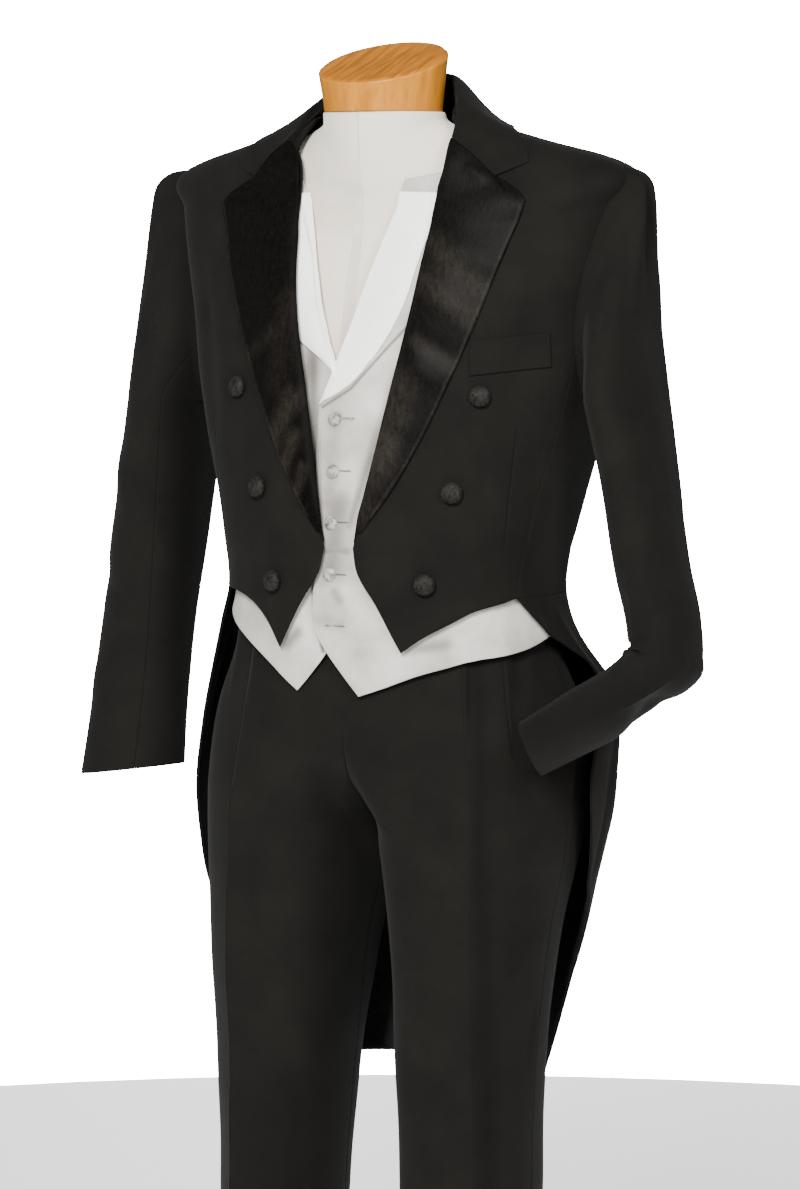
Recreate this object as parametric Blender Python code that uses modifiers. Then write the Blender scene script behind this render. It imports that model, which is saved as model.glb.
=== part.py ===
"""Tailcoat suit on a limbless dress form.

Metres, +Z up. The front faces -Y and +X is the wearer's left. The origin is on the
floor under the middle of the round base.

The coat's outer side is a chart: a table of rounded sections, each read at an angle
(0 at the middle of the front, 90 at the side, 180 at the middle of the back) and at a
height, which is the height of that section at the side. Sections tip forward over the
shoulders. The waistcoat lies inside the same chart, the trousers and the form have
sections of their own, and the sleeves are rings carried down the arms. Every panel is
a grid between four seams drawn on its chart, with a wall of even thickness inside it,
and panels that meet read the same seam. Both sides are drawn as the left one, and the
wearer's right is turned over at the end.
"""

import math

import bmesh
import bpy
import numpy as np
from mathutils import Vector
from mathutils.bvhtree import BVHTree

# Driving dimensions
SEAM = 0.0003               # between pieces that touch
WOOL = 0.0018               # wall of the coat
TROUSER_WALL = 0.0016
BAND_WALL = 0.0024
SATIN = 0.0014              # wall of waistcoat
LINING = 0.0010
LAPEL = 0.0022
LEFT, RIGHT = 1, -1
UP = np.array([0.0, 0.0, 1.0])

WAIST_SEAM = 1.049          # the coat's waist seam at the side
NECK_SEAM = 1.530
SHOULDER_TIP = 1.472
COAT_SHIFT = 0.0055         # how far the coat's fronts sit to the wearer's left
VEST_SHIFT = -0.012         # and the waistcoat to the wearer's right
LEAN = -0.005               # the form's shoulders stand this far to the wearer's right
LEAN_FROM, LEAN_TO = 1.10, 1.39

ARMHOLE_MID, ARMHOLE_RISE = 1.3565, 0.1155
ARMHOLE_SIDE, ARMHOLE_FRONT, ARMHOLE_BACK = 90.0, 19.5, 27.0

SIDE_SEAM_AT_ARMHOLE = 122.0    # turn round the armhole from its top, towards the front
BACK_SEAM_AT_ARMHOLE = 108.0    # and towards the back

VEST_DEEP = 0.0080          # the waistcoat's outer side, inside the coat's
VEST_UNDER = 0.0112         # the same for its right front where the left one covers it

BUTTON_WIDE, BUTTON_HIGH, SHANK = 0.0215, 0.0075, 0.0025
BUTTON_CLEAR = 0.0004       # between a button and its panel
VEST_BUTTON_WIDE, VEST_BUTTON_HIGH = 0.0140, 0.0040
VEST_LAPEL_CLEAR = 0.0007

CROTCH = 0.818
TROUSER_TOP = 1.046
WAISTBAND_TOP = 1.078

BASE_WIDE, BASE_HIGH = 0.420, 0.024
POLE_WIDE = 0.028
POLE_X, POLE_Y = 0.100, -0.050
FORM_BOTTOM = 0.868
NECK_TILT = math.radians(21)
NECK_TOP = 1.584            # middle of the slanted top

INK = (0.012, 0.012, 0.014, 1.0)
BLACK_SATIN = (0.016, 0.016, 0.018, 1.0)
WHITE_SATIN = (0.86, 0.86, 0.85, 1.0)
CREAM = (0.80, 0.76, 0.68, 1.0)
PALE_WOOD = (0.71, 0.52, 0.31, 1.0)
STEEL = (0.55, 0.55, 0.56, 1.0)


class Table:
    """Rows of named columns, read between rows by a smooth curve on the first column."""

    def __init__(self, columns, *rows):
        self.names = columns.split()
        self.rows = np.array(rows, dtype=float)

    def column(self, name):
        return self.rows[:, self.names.index(name)]

    def at(self, name, place):
        return smooth(self.rows[:, 0], self.column(name), place)


def smooth(xs, ys, x):
    """Cubic pieces through the points, level past both ends."""
    xs = np.asarray(xs, float)
    ys = np.asarray(ys, float)
    x = np.clip(np.asarray(x, float), xs[0], xs[-1])
    slope = np.gradient(ys, xs)
    i = np.clip(np.searchsorted(xs, x, side="right") - 1, 0, len(xs) - 2)
    wide = xs[i + 1] - xs[i]
    t = (x - xs[i]) / wide
    return (
        (2 * t**3 - 3 * t**2 + 1) * ys[i]
        + (t**3 - 2 * t**2 + t) * wide * slope[i]
        + (3 * t**2 - 2 * t**3) * ys[i + 1]
        + (t**3 - t**2) * wide * slope[i + 1]
    )


def ease(t):
    t = np.clip(t, 0, 1)
    return t * t * (3 - 2 * t)


COAT = Table(
    "height half_wide front back mid_y front_height back_height square",
    (0.530, 0.150, 0.120, 0.136, -.010, 0.530, 0.530, 2.15),
    (0.640, 0.180, 0.128, 0.150, -.012, 0.640, 0.640, 2.15),
    (0.740, 0.206, 0.134, 0.158, -.012, 0.740, 0.740, 2.15),
    (0.840, 0.224, 0.138, 0.160, -.012, 0.840, 0.840, 2.15),
    (0.900, 0.219, 0.138, 0.156, -.012, 0.900, 0.900, 2.15),
    (0.960, 0.206, 0.137, 0.146, -.014, 0.960, 0.960, 2.15),
    (1.010, 0.190, 0.136, 0.136, -.018, 1.010, 1.010, 2.20),
    (1.050, 0.180, 0.135, 0.130, -.018, 1.050, 1.050, 2.20),
    (1.100, 0.186, 0.134, 0.128, -.016, 1.100, 1.100, 2.25),
    (1.150, 0.196, 0.132, 0.132, -.012, 1.150, 1.150, 2.30),
    (1.200, 0.210, 0.129, 0.140, -.008, 1.200, 1.200, 2.35),
    (1.260, 0.222, 0.125, 0.146, -.004, 1.260, 1.260, 2.35),
    (1.330, 0.232, 0.118, 0.148, -.001, 1.325, 1.330, 2.35),
    (1.390, 0.243, 0.108, 0.146, 0.000, 1.372, 1.390, 2.35),
    (1.438, 0.251, 0.098, 0.140, 0.001, 1.405, 1.434, 2.25),
    (1.472, 0.250, 0.090, 0.132, 0.000, 1.427, 1.462, 2.10),
    (1.484, 0.222, 0.085, 0.122, -.002, 1.438, 1.480, 2.05),
    (1.498, 0.178, 0.080, 0.108, -.008, 1.450, 1.500, 2.00),
    (1.513, 0.132, 0.074, 0.092, -.016, 1.462, 1.518, 2.00),
    (1.530, 0.080, 0.066, 0.074, -.024, 1.476, 1.534, 2.00),
)

# The form under the cloth: torso sections, as in the coat's chart
FORM = Table(
    "height half_wide front back mid_y front_height back_height square",
    (0.868, 0.144, 0.090, 0.080, -.014, 0.868, 0.868, 2.10),
    (0.880, 0.160, 0.102, 0.092, -.014, 0.880, 0.880, 2.10),
    (0.940, 0.170, 0.112, 0.108, -.014, 0.940, 0.940, 2.10),
    (1.000, 0.166, 0.111, 0.108, -.018, 1.000, 1.000, 2.15),
    (1.050, 0.1588, 0.1100, 0.1070, -.018, 1.050, 1.050, 2.20),
    (1.100, 0.162, 0.1095, 0.1070, -.016, 1.100, 1.100, 2.25),
    (1.200, 0.188, 0.110, 0.122, -.008, 1.200, 1.200, 2.30),
    (1.330, 0.208, 0.100, 0.130, -.001, 1.322, 1.330, 2.30),
    (1.400, 0.214, 0.089, 0.127, 0.000, 1.372, 1.398, 2.25),
    (1.434, 0.211, 0.083, 0.121, 0.000, 1.396, 1.428, 2.15),
    (1.460, 0.203, 0.078, 0.113, -.001, 1.412, 1.450, 2.05),
    (1.4745, 0.188, 0.074, 0.104, -.003, 1.424, 1.468, 2.00),
    (1.4862, 0.1700, 0.069, 0.096, -.008, 1.436, 1.487, 2.00),
    (1.4995, 0.1250, 0.062, 0.081, -.016, 1.449, 1.504, 2.00),
    (1.5130, 0.0880, 0.056, 0.068, -.026, 1.466, 1.516, 2.00),
    (1.5220, 0.0680, 0.053, 0.058, -.033, 1.492, 1.524, 2.00),
    (1.5320, 0.0640, 0.052, 0.053, -.037, 1.532, 1.532, 2.00),
)

# The fold of the lapel and the lapel's free edge: how far each is from the middle
ROLL = Table(
    "height fold edge",
    (1.098, 0.0165, 0.0170),
    (1.115, 0.0190, 0.0275),
    (1.150, 0.0265, 0.0530),
    (1.200, 0.0370, 0.0815),
    (1.250, 0.0480, 0.1050),
    (1.300, 0.0590, 0.1265),
    (1.350, 0.0680, 0.1445),
    (1.400, 0.0740, 0.1610),
    (1.442, 0.0775, 0.1725),
    (1.470, 0.0785, 0.1725),
)
GORGE_GAP = 0.0026
GORGE_ANGLE = 54.0          # where the fold of the lapel reaches the neck seam
GORGE_DROP = 0.0115         # the neck seam dips this much on its way there
GORGE_RUN = 26.0
GORGE_LIFT = 0.0060         # how far the fold stands off the chart there
LAPEL_TIP = (0.1725, 1.4425)
LAPEL_POINT = 0.006        # the lapel begins this far above the break, already this wide or so
NOTCH = (0.1360, 1.4660)
COLLAR_TIP = (0.1650, 1.4795)

# The cut-away edge of each front under its lapel, and its hem back to the side
CUTAWAY = Table(
    "height from_middle",
    (0.9955, 0.0690),
    (1.0420, 0.0430),
    (1.0750, 0.0215),
    (1.0980, 0.0165),
)
FRONT_HEM = {
    LEFT: Table(
        "from_middle height",
        (0.0690, 0.9955), (0.0907, 1.0110), (0.1165, 1.0260),
        (0.1332, 1.0365), (0.1503, 1.0430), (0.1660, 1.0490),
    ),
    RIGHT: Table(
        "from_middle height",
        (0.0690, 0.9955), (0.0824, 1.0165), (0.1037, 1.0360),
        (0.1220, 1.0440), (0.1420, 1.0480), (0.1660, 1.0490),
    ),
}

# Each tail: its front edge on the chart, where it leaves the back panel, and how far
# its front edge stands off the chart
TAIL = {
    LEFT: Table(
        "height front_angle seam_angle flare",
        (0.538, 127.0, 163.0, 0.000),
        (0.620, 118.0, 160.0, 0.000),
        (0.700, 106.0, 157.0, 0.001),
        (0.790, 90.0, 154.0, 0.003),
        (0.870, 82.0, 152.0, 0.013),
        (0.915, 86.0, 151.0, 0.021),
        (0.955, 93.0, 150.0, 0.020),
        (0.990, 90.0, 149.0, 0.008),
        (1.020, 79.0, 149.0, 0.001),
        (1.049, 68.0, 149.0, 0.000),
    ),
    RIGHT: Table(
        "height front_angle seam_angle flare",
        (0.538, 134.0, 163.0, 0.000),
        (0.600, 120.0, 160.0, 0.000),
        (0.650, 105.0, 158.5, 0.003),
        (0.700, 91.0, 157.0, 0.008),
        (0.790, 79.0, 154.0, 0.006),
        (0.870, 76.0, 152.0, 0.005),
        (0.955, 74.0, 150.0, 0.004),
        (1.000, 71.0, 149.0, 0.002),
        (1.049, 68.0, 149.0, 0.000),
    ),
}
SIDE_SEAM = Table(
    "height angle",
    (1.049, 68.0), (1.100, 69.0), (1.160, 70.0), (1.220, 71.5), (1.2953, 73.46),
)
BACK_SEAM = Table(
    "height angle",
    (1.049, 149.0), (1.100, 145.0), (1.180, 138.0), (1.260, 129.0), (1.3208, 115.68),
)

# Welt of the breast pocket, on the wearer's left: its two ends
WELT_IN = (0.1300, 1.2870)
WELT_OUT = (0.1985, 1.2960)
WELT_HIGH = 0.034
WELT_CLEAR = 0.0008

COAT_BUTTONS = Table(
    "side from_middle height",
    (LEFT, 0.1460, 1.250), (LEFT, 0.1205, 1.155), (LEFT, 0.0965, 1.064),
    (RIGHT, 0.1275, 1.255), (RIGHT, 0.0955, 1.155), (RIGHT, 0.0705, 1.062),
)
BACK_BUTTON_ANGLE, BACK_BUTTON_HEIGHT = 154.0, 1.066

# Waistcoat: the open edge from the fold of its lapel down, and each half's hem
VEST_FOLD = Table(
    "height from_middle",
    (1.2390, -0.0170), (1.2850, 0.0020), (1.3350, 0.0200), (1.3650, 0.0285),
    (1.3900, 0.0360), (1.4300, 0.0480), (1.4650, 0.0600),
)
VEST_LAPEL_EDGE = Table(
    "height from_middle",
    (1.2390, -0.0160), (1.2600, 0.0110), (1.2890, 0.0370), (1.3150, 0.0560),
    (1.3400, 0.0700), (1.3900, 0.0860), (1.4300, 0.0950), (1.4650, 0.1000),
)
VEST_BUTTONS = Table(
    "height from_middle",
    (1.2262, -0.0098), (1.1740, -0.0090), (1.1230, -0.0083), (1.0710, -0.0078),
)
VEST_EDGE = {
    LEFT: Table(
        "height from_middle",
        (0.9490, 0.0365), (0.9700, 0.0180), (0.9940, -0.0010), (1.0130, -0.0125),
        (1.0370, -0.0165), (1.0700, -0.0140), (1.1140, -0.0110), (1.1580, -0.0165),
        (1.1980, -0.0185), (1.2390, -0.0180),
    ),
    RIGHT: Table(
        "height from_middle",
        (0.9510, 0.0390), (0.9700, 0.0200), (0.9900, 0.0020), (1.0100, -0.0090),
        (1.0700, -0.0120), (1.1500, -0.0120), (1.2390, -0.0100),
    ),
}
VEST_HEM = {
    LEFT: Table(
        "from_middle height",
        (0.0365, 0.9490), (0.0620, 0.9575), (0.0985, 0.9710), (0.1430, 0.9850),
        (0.1700, 0.9960), (0.1800, 1.0080),
    ),
    RIGHT: Table(
        "from_middle height",
        (0.0390, 0.9510), (0.0780, 0.9800), (0.1130, 1.0020), (0.1380, 1.0160),
        (0.1600, 1.0300), (0.1720, 1.0380),
    ),
}
VEST_SIDE_ANGLE = 92.0
VEST_BACK_HEM = 1.040
VEST_SIDE_FROM = 1.075
VEST_SHOULDER_IN, VEST_SHOULDER_OUT = 1.516, 1.494

# Arms: ring centres, half sizes away from the body and to the front, and the ring's turn
ARM = {
    LEFT: Table(
        "place x y height out front turn slant",
        (0, 0.2600, -.014, 1.240, 0.0300, 0.0740, 0, 0),
        (1, 0.2800, -.026, 1.160, 0.0330, 0.0600, 0, 0),
        (2, 0.2985, -.038, 1.085, 0.0335, 0.0520, 0, 0),
        (3, 0.3165, -.047, 1.028, 0.0340, 0.0500, 0, 0),
        (4, 0.3175, -.054, 0.988, 0.0330, 0.0490, 0, 0),
        (5, 0.2900, -.072, 0.958, 0.0285, 0.0480, 0, 0),
        (6, 0.2520, -.096, 0.934, 0.0262, 0.0470, 0, 0),
        (7, 0.2070, -.121, 0.906, 0.0222, 0.0450, 0, 0.23),
    ),
    RIGHT: Table(
        "place x y height out front turn slant",
        (0, 0.2740, 0.000, 1.240, 0.0390, 0.0740, 0, 0),
        (1, 0.2890, -.004, 1.135, 0.0450, 0.0660, 0, 0),
        (2, 0.2965, -.018, 1.030, 0.0480, 0.0550, 4, 0),
        (3, 0.2975, -.042, 0.930, 0.0510, 0.0420, 16, 0),
        (4, 0.2940, -.064, 0.849, 0.0535, 0.0350, 29, 0.20),
    ),
}
# Where each sleeve's two seams run: turns from its outer side to the front and inwards
SLEEVE_FRONT_SEAM = 122.0
SLEEVE_BACK_SEAM = 252.0
HEAD_ROWS, ARM_ROWS = 8, 12
# The bent sleeve's underside is cut here, a row of points near its elbow, into two pieces
ELBOW_ROW = 13
TOPSLEEVE_COLUMNS, UNDERSLEEVE_COLUMNS = 11, 6
HEAD_OUT, HEAD_FALL, HEAD_DOWN = 0.50, 2.0, 0.90
# How far the head of a sleeve stands out from the armhole: to its front, back and sides
CROWN_FRONT, CROWN_BACK, CROWN_SIDE = 0.034, 0.004, 0.008
CROWN_UP, CROWN_DOWN = 0.003, 0.006
SLEEVE_CLEAR = 0.0012

# Trousers: one leg's sections, from the hem to the waist
LEG = {
    LEFT: Table(
        "height mid_x mid_y half_wide front back square turn crease",
        (0.036, 0.106, -.060, 0.063, 0.096, 0.098, 2.0, 0, 1.0),
        (0.200, 0.107, -.061, 0.064, 0.092, 0.094, 2.0, 0, 1.0),
        (0.4256, 0.109, -.060, 0.067, 0.088, 0.088, 2.0, 0, 1.0),
        (0.574, 0.105, -.053, 0.073, 0.090, 0.090, 2.0, 0, 1.0),
        (0.700, 0.103, -.040, 0.083, 0.100, 0.102, 2.0, 0, 1.0),
        (0.790, 0.1015, -.028, 0.0965, 0.112, 0.120, 2.1, 0, 0.8),
        (0.818, 0.1000, -.024, 0.1000, 0.117, 0.126, 2.1, 0, 0.7),
        (0.840, 0.0920, -.022, 0.1100, 0.120, 0.130, 2.1, 0, 0.6),
        (0.880, 0.0660, -.018, 0.1380, 0.121, 0.131, 2.1, 0, 0.5),
        (0.930, 0.0300, -.016, 0.1690, 0.119, 0.127, 2.1, 0, 0.3),
        (0.990, 0.0000, -.017, 0.1780, 0.117, 0.117, 2.1, 0, 0.1),
        (1.046, 0.0000, -.018, 0.1645, 0.115, 0.112, 2.2, 0, 0.0),
    ),
    RIGHT: Table(
        "height mid_x mid_y half_wide front back square turn crease",
        (0.036, 0.106, -.060, 0.062, 0.088, 0.092, 2.0, 16, 1.0),
        (0.200, 0.107, -.061, 0.063, 0.086, 0.090, 2.0, 16, 1.0),
        (0.4256, 0.110, -.060, 0.065, 0.085, 0.087, 2.0, 12, 1.0),
        (0.574, 0.108, -.053, 0.074, 0.090, 0.092, 2.0, 8, 1.0),
        (0.700, 0.106, -.040, 0.087, 0.102, 0.104, 2.0, 0, 1.0),
        (0.790, 0.1015, -.028, 0.0965, 0.112, 0.120, 2.1, 0, 0.8),
        (0.818, 0.1000, -.024, 0.1000, 0.117, 0.126, 2.1, 0, 0.7),
        (0.840, 0.0920, -.022, 0.1100, 0.120, 0.130, 2.1, 0, 0.6),
        (0.880, 0.0660, -.018, 0.1380, 0.121, 0.131, 2.1, 0, 0.5),
        (0.930, 0.0300, -.016, 0.1690, 0.119, 0.127, 2.1, 0, 0.3),
        (0.990, 0.0000, -.017, 0.1780, 0.117, 0.117, 2.1, 0, 0.1),
        (1.046, 0.0000, -.018, 0.1645, 0.115, 0.112, 2.2, 0, 0.0),
    ),
}
LEG_ROWS = (
    0.036, 0.16, 0.30, 0.4256, 0.52, 0.61, 0.69, 0.76, 0.818,
    0.836, 0.860, 0.890, 0.930, 0.970, 1.008, 1.046,
)
MIDDLE_CLEAR = 0.0002       # each leg keeps this far from the middle plane
CREASE_HIGH, CREASE_SPREAD = 0.007, 11.0
CREASE = Table(
    "height angle",
    (0.036, 90.0), (0.700, 90.0), (0.800, 88.0), (0.900, 78.0), (0.970, 66.0), (1.046, 58.0),
)


def section_point(table, angle, height):
    """A point of a rounded section: powers of sine and cosine, tipped to the front."""
    angle, height = np.broadcast_arrays(np.asarray(angle, float), np.asarray(height, float))
    turn = np.radians(angle)
    c = np.cos(turn)
    s = np.sin(turn)
    power = 2 / table.at("square", height)
    ahead = c > 0
    deep = np.where(ahead, table.at("front", height), table.at("back", height))
    tip = np.where(ahead, table.at("front_height", height), table.at("back_height", height))
    x = table.at("half_wide", height) * np.sign(s) * np.abs(s) ** power
    y = table.at("mid_y", height) - deep * np.sign(c) * np.abs(c) ** power
    return np.stack([x, y, height + (tip - height) * c * c], -1)


def unit(vector):
    return vector / np.linalg.norm(vector, axis=-1, keepdims=True)


def outward(table, angle, height):
    """The direction square to a chart's surface."""
    small_turn, small_rise = 0.5, 0.0008
    low = np.maximum(height - small_rise, table.rows[0, 0])
    high = np.minimum(height + small_rise, table.rows[-1, 0])
    along = section_point(table, angle + small_turn, height)
    along = along - section_point(table, angle - small_turn, height)
    up = section_point(table, angle, high) - section_point(table, angle, low)
    return unit(np.cross(along, up))


def on_chart(table, chart, out=0.0):
    """Points moved out from a chart, with their outward directions."""
    angle, height = chart[..., 0], chart[..., 1]
    away = outward(table, angle, height)
    out = np.broadcast_to(np.asarray(out, float), angle.shape)
    return section_point(table, angle, height) + away * out[..., None], away


CHART_TRIES = 40            # steps towards the height whose tipped section has this z
DEGREE_WIDE = 0.0035        # of cloth to a degree of the chart, near enough to space points by


def chart_of(x, z):
    """The chart's angle and height of a point on the front, from its x and its z."""
    x, z = np.broadcast_arrays(np.asarray(x, float), np.asarray(z, float))
    height = z.copy()
    angle = np.zeros_like(height)
    for _ in range(CHART_TRIES):
        ratio = np.clip(np.abs(x) / COAT.at("half_wide", height), 0, 1)
        sine = ratio ** (COAT.at("square", height) / 2)
        angle = np.degrees(np.arcsin(np.clip(sine, 0, 1))) * np.sign(x)
        lift = (COAT.at("front_height", height) - height) * np.cos(np.radians(angle)) ** 2
        height = 0.5 * height + 0.5 * (z - lift)
    return np.stack([angle, height], -1)


def spaced(points, count):
    """Points evenly along a smooth curve through the given chart points."""
    points = np.asarray(points, float)
    step = np.diff(points, axis=0) * (DEGREE_WIDE, 1.0)
    along = np.concatenate([[0], np.cumsum(np.hypot(step[:, 0], step[:, 1]))])
    want = np.linspace(0, along[-1], count)
    return np.stack([smooth(along, points[:, i], want) for i in (0, 1)], -1)


def joined(*runs):
    """Runs of points end to end, each shared point once."""
    return np.concatenate([runs[0]] + [run[1:] for run in runs[1:]])


def fill(bottom, top, start, end):
    """A grid between four curves, each point blended from all four (a Coons patch)."""
    u = np.linspace(0, 1, len(bottom))[None, :, None]
    v = np.linspace(0, 1, len(start))[:, None, None]
    sides = (1 - u) * start[:, None] + u * end[:, None]
    ends = (1 - v) * bottom[None] + v * top[None]
    corners = (1 - v) * ((1 - u) * bottom[0] + u * bottom[-1])
    corners = corners + v * ((1 - u) * top[0] + u * top[-1])
    return sides + ends - corners


def pull_back(grid, edges, gap=SEAM):
    """Moves the named edges of a grid half a seam's gap into their own piece."""
    grid = grid.copy()
    for edge in edges:
        view = {
            "start": grid.transpose(1, 0, 2),
            "end": grid.transpose(1, 0, 2)[::-1],
            "bottom": grid,
            "top": grid[::-1],
        }[edge]
        view[0] += unit(view[1] - view[0]) * gap / 2
    return grid


def leaned(points):
    """The whole suit leans with the form: x moves a little with height."""
    points = points.copy()
    points[:, 0] += LEAN * ease((points[:, 2] - LEAN_FROM) / (LEAN_TO - LEAN_FROM))
    return points


def leaned_grid(points):
    return leaned(points.reshape(-1, 3)).reshape(points.shape)


def add_object(name, vertices, faces, material):
    """One closed piece, with its faces turned out and its round sides smooth."""
    vertices = leaned(np.asarray(vertices, float))
    mesh = bpy.data.meshes.new(name)
    mesh.from_pydata([tuple(v) for v in vertices], [], [tuple(int(i) for i in f) for f in faces])
    work = bmesh.new()
    work.from_mesh(mesh)
    bmesh.ops.recalc_face_normals(work, faces=work.faces)
    if work.calc_volume(signed=True) < 0:
        bmesh.ops.reverse_faces(work, faces=work.faces)
    work.to_mesh(mesh)
    work.free()
    piece = bpy.data.objects.new(name, mesh)
    collection.objects.link(piece)
    mesh.materials.append(material)
    mesh.shade_smooth()
    mesh.set_sharp_from_angle(angle=math.radians(40))
    return piece


def wall(name, outer, away, thick, material, side=LEFT, ring=False, seams=(), gap=SEAM):
    """A sheet of cloth: an outer grid, the same grid moved in, and rims between them."""
    inner = outer - away * np.asarray(thick)[..., None]
    outer = pull_back(outer, seams, gap)
    inner = pull_back(inner, seams, gap)
    rows, columns = outer.shape[:2]
    points = np.concatenate([outer.reshape(-1, 3), inner.reshape(-1, 3)])
    points = points * (side, 1, 1)
    number = np.arange(2 * rows * columns).reshape(2, rows, columns)
    faces = []
    around = columns if ring else columns - 1
    for i in range(rows - 1):
        for j in range(around):
            k = (j + 1) % columns
            a, b = number[0], number[1]
            faces.append((a[i, j], a[i, k], a[i + 1, k], a[i + 1, j]))
            faces.append((b[i, j], b[i + 1, j], b[i + 1, k], b[i, k]))
    for i in (0, rows - 1):
        for j in range(around):
            k = (j + 1) % columns
            faces.append((number[0, i, j], number[0, i, k], number[1, i, k], number[1, i, j]))
    if not ring:
        for j in (0, columns - 1):
            for i in range(rows - 1):
                faces.append(
                    (number[0, i, j], number[0, i + 1, j], number[1, i + 1, j], number[1, i, j])
                )
    return add_object(name, points, faces, material)


def laid_on(panel, points, away):
    """Points dropped on a built panel along their own directions, and that panel's facing."""
    mesh = bpy.data.objects[panel].data
    corners = [tuple(v.co) for v in mesh.vertices]
    tree = BVHTree.FromPolygons(corners, [tuple(f.vertices) for f in mesh.polygons])
    reach = 0.03
    spots = points.reshape(-1, 3).copy()
    facing = away.reshape(-1, 3).copy()
    for i, (point, way) in enumerate(zip(spots.copy(), facing.copy())):
        hit, normal, _, _ = tree.ray_cast(Vector(point + way * reach), Vector(-way), 2 * reach)
        if hit is not None:
            spots[i] = hit
            facing[i] = normal
    return spots.reshape(points.shape), facing.reshape(points.shape)


def armhole(turn):
    """The armhole on the chart: 0 at its top, 90 at its front, 180 below, 270 behind."""
    turn = np.radians(turn)
    wide = np.where(np.sin(turn) > 0, ARMHOLE_FRONT, ARMHOLE_BACK)
    angle = ARMHOLE_SIDE - wide * np.sin(turn)
    return np.stack([angle, ARMHOLE_MID + ARMHOLE_RISE * np.cos(turn)], -1)


def fold_chart(side, heights):
    """The fold of the lapel: up the front, and on to the neck seam."""
    x = ROLL.at("fold", heights) + side * COAT_SHIFT
    return chart_of(x, heights)


NECK_POINTS, SHOULDER_POINTS = 4, 7
FRONT_COLUMNS = NECK_POINTS + SHOULDER_POINTS - 1
SIDE_ROWS, ARMHOLE_ROWS = 9, 8
LAPEL_BREAK = 1.098
FOLD_TOP = 1.455            # above here the fold leaves the chart's front for the gorge
CUT_POINTS, FOLD_POINTS, RISE_POINTS = 5, 11, 3


def shoulder_seam(count):
    """From the neck out to the top of the armhole."""
    heights = np.linspace(NECK_SEAM, SHOULDER_TIP, count)
    return np.stack([np.full(count, 90.0), heights], -1)


def neck_seam(angles):
    """Points of the neck seam, which dips to the gorge at its front ends."""
    dip = GORGE_DROP * (1 - ease((angles - GORGE_ANGLE) / GORGE_RUN))
    return np.stack([angles, NECK_SEAM - dip], -1)


def side_seam(table, count):
    heights = np.linspace(table.rows[0, 0], table.rows[-1, 0], count)
    return np.stack([table.at("angle", heights), heights], -1)


def front_edge(side):
    """The front's edge: cut away from its point, then the fold, then up to the gorge."""
    low = np.linspace(CUTAWAY.rows[0, 0], LAPEL_BREAK, CUT_POINTS)
    cut = chart_of(CUTAWAY.at("from_middle", low) + side * COAT_SHIFT, low)
    fold = fold_chart(side, np.linspace(LAPEL_BREAK, FOLD_TOP, FOLD_POINTS))
    gorge = neck_seam(np.array([GORGE_ANGLE]))[0]
    neck = fold[-1] + (gorge - fold[-1]) * np.linspace(0, 1, RISE_POINTS)[:, None]
    return joined(spaced(cut, CUT_POINTS), fold, neck)


def coat_front(side, name):
    start = front_edge(side)
    hem = FRONT_HEM[side]
    x = np.linspace(hem.rows[0, 0], hem.rows[-1, 0], FRONT_COLUMNS)
    bottom = chart_of(x + side * COAT_SHIFT, hem.at("height", x))
    seam = side_seam(SIDE_SEAM, SIDE_ROWS)
    bottom[-1] = seam[0]
    round_arm = armhole(np.linspace(SIDE_SEAM_AT_ARMHOLE, 0, len(start) - SIDE_ROWS + 1))
    end = joined(seam, round_arm)
    top = joined(neck_seam(np.linspace(GORGE_ANGLE, 90, NECK_POINTS)), shoulder_seam(SHOULDER_POINTS))
    grid = fill(bottom, top, start, end)
    outer, away = on_chart(COAT, grid)
    wall(name, outer, away, WOOL, wool, side, seams=("end", "top"))


def coat_side(side, name):
    """The side body, between the front's side seam and the back's."""
    columns = 8
    start = side_seam(SIDE_SEAM, SIDE_ROWS)
    end = side_seam(BACK_SEAM, SIDE_ROWS)
    bottom = np.stack([np.linspace(start[0, 0], end[0, 0], columns), np.full(columns, WAIST_SEAM)], -1)
    top = armhole(np.linspace(SIDE_SEAM_AT_ARMHOLE, 360 - BACK_SEAM_AT_ARMHOLE, columns))
    outer, away = on_chart(COAT, fill(bottom, top, start, end))
    wall(name, outer, away, WOOL, wool, side, seams=("start", "end", "bottom"))


FLARE_RUN = 34.0            # degrees behind a tail's front edge over which its flare dies away


def tail_out(side, chart):
    """How far a tail stands off the chart: its flare dies away behind its front edge."""
    table = TAIL[side]
    behind = (chart[..., 0] - table.at("front_angle", chart[..., 1])) / FLARE_RUN
    return table.at("flare", chart[..., 1]) * np.exp(-np.maximum(behind, 0) ** 2)


TAIL_HEIGHTS = (0.538, 0.60, 0.665, 0.73, 0.79, 0.84, 0.885, 0.925, 0.960, 0.990, 1.020, 1.049)


def tail_grid(side, columns, first, last):
    """A grid over one tail, between two columns of its table or a fixed angle."""
    table = TAIL[side]
    heights = np.array(TAIL_HEIGHTS)[:, None]
    ends = []
    for edge in (first, last):
        ends.append(table.at(edge, heights) if isinstance(edge, str) else heights * 0 + edge)
    across_it = np.linspace(0, 1, columns)[None, :]
    angle = ends[0] + (ends[1] - ends[0]) * across_it
    return np.stack([angle, heights + angle * 0], -1)


def coat_skirt(side, name):
    grid = tail_grid(side, 8, "front_angle", "seam_angle")
    outer, away = on_chart(COAT, grid, tail_out(side, grid))
    wall(name, outer, away, WOOL, wool, side, seams=("end", "top"))


def tail_lining(side, name):
    """The satin inside a tail, seen where its front edge swings back."""
    grid = tail_grid(side, 8, "front_angle", "seam_angle")
    outer, away = on_chart(COAT, grid, tail_out(side, grid))
    outer = outer - away * (WOOL + SEAM)
    wall(name, outer, away, LINING, black_satin, side, seams=("end", "top", "start", "bottom"))


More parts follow.
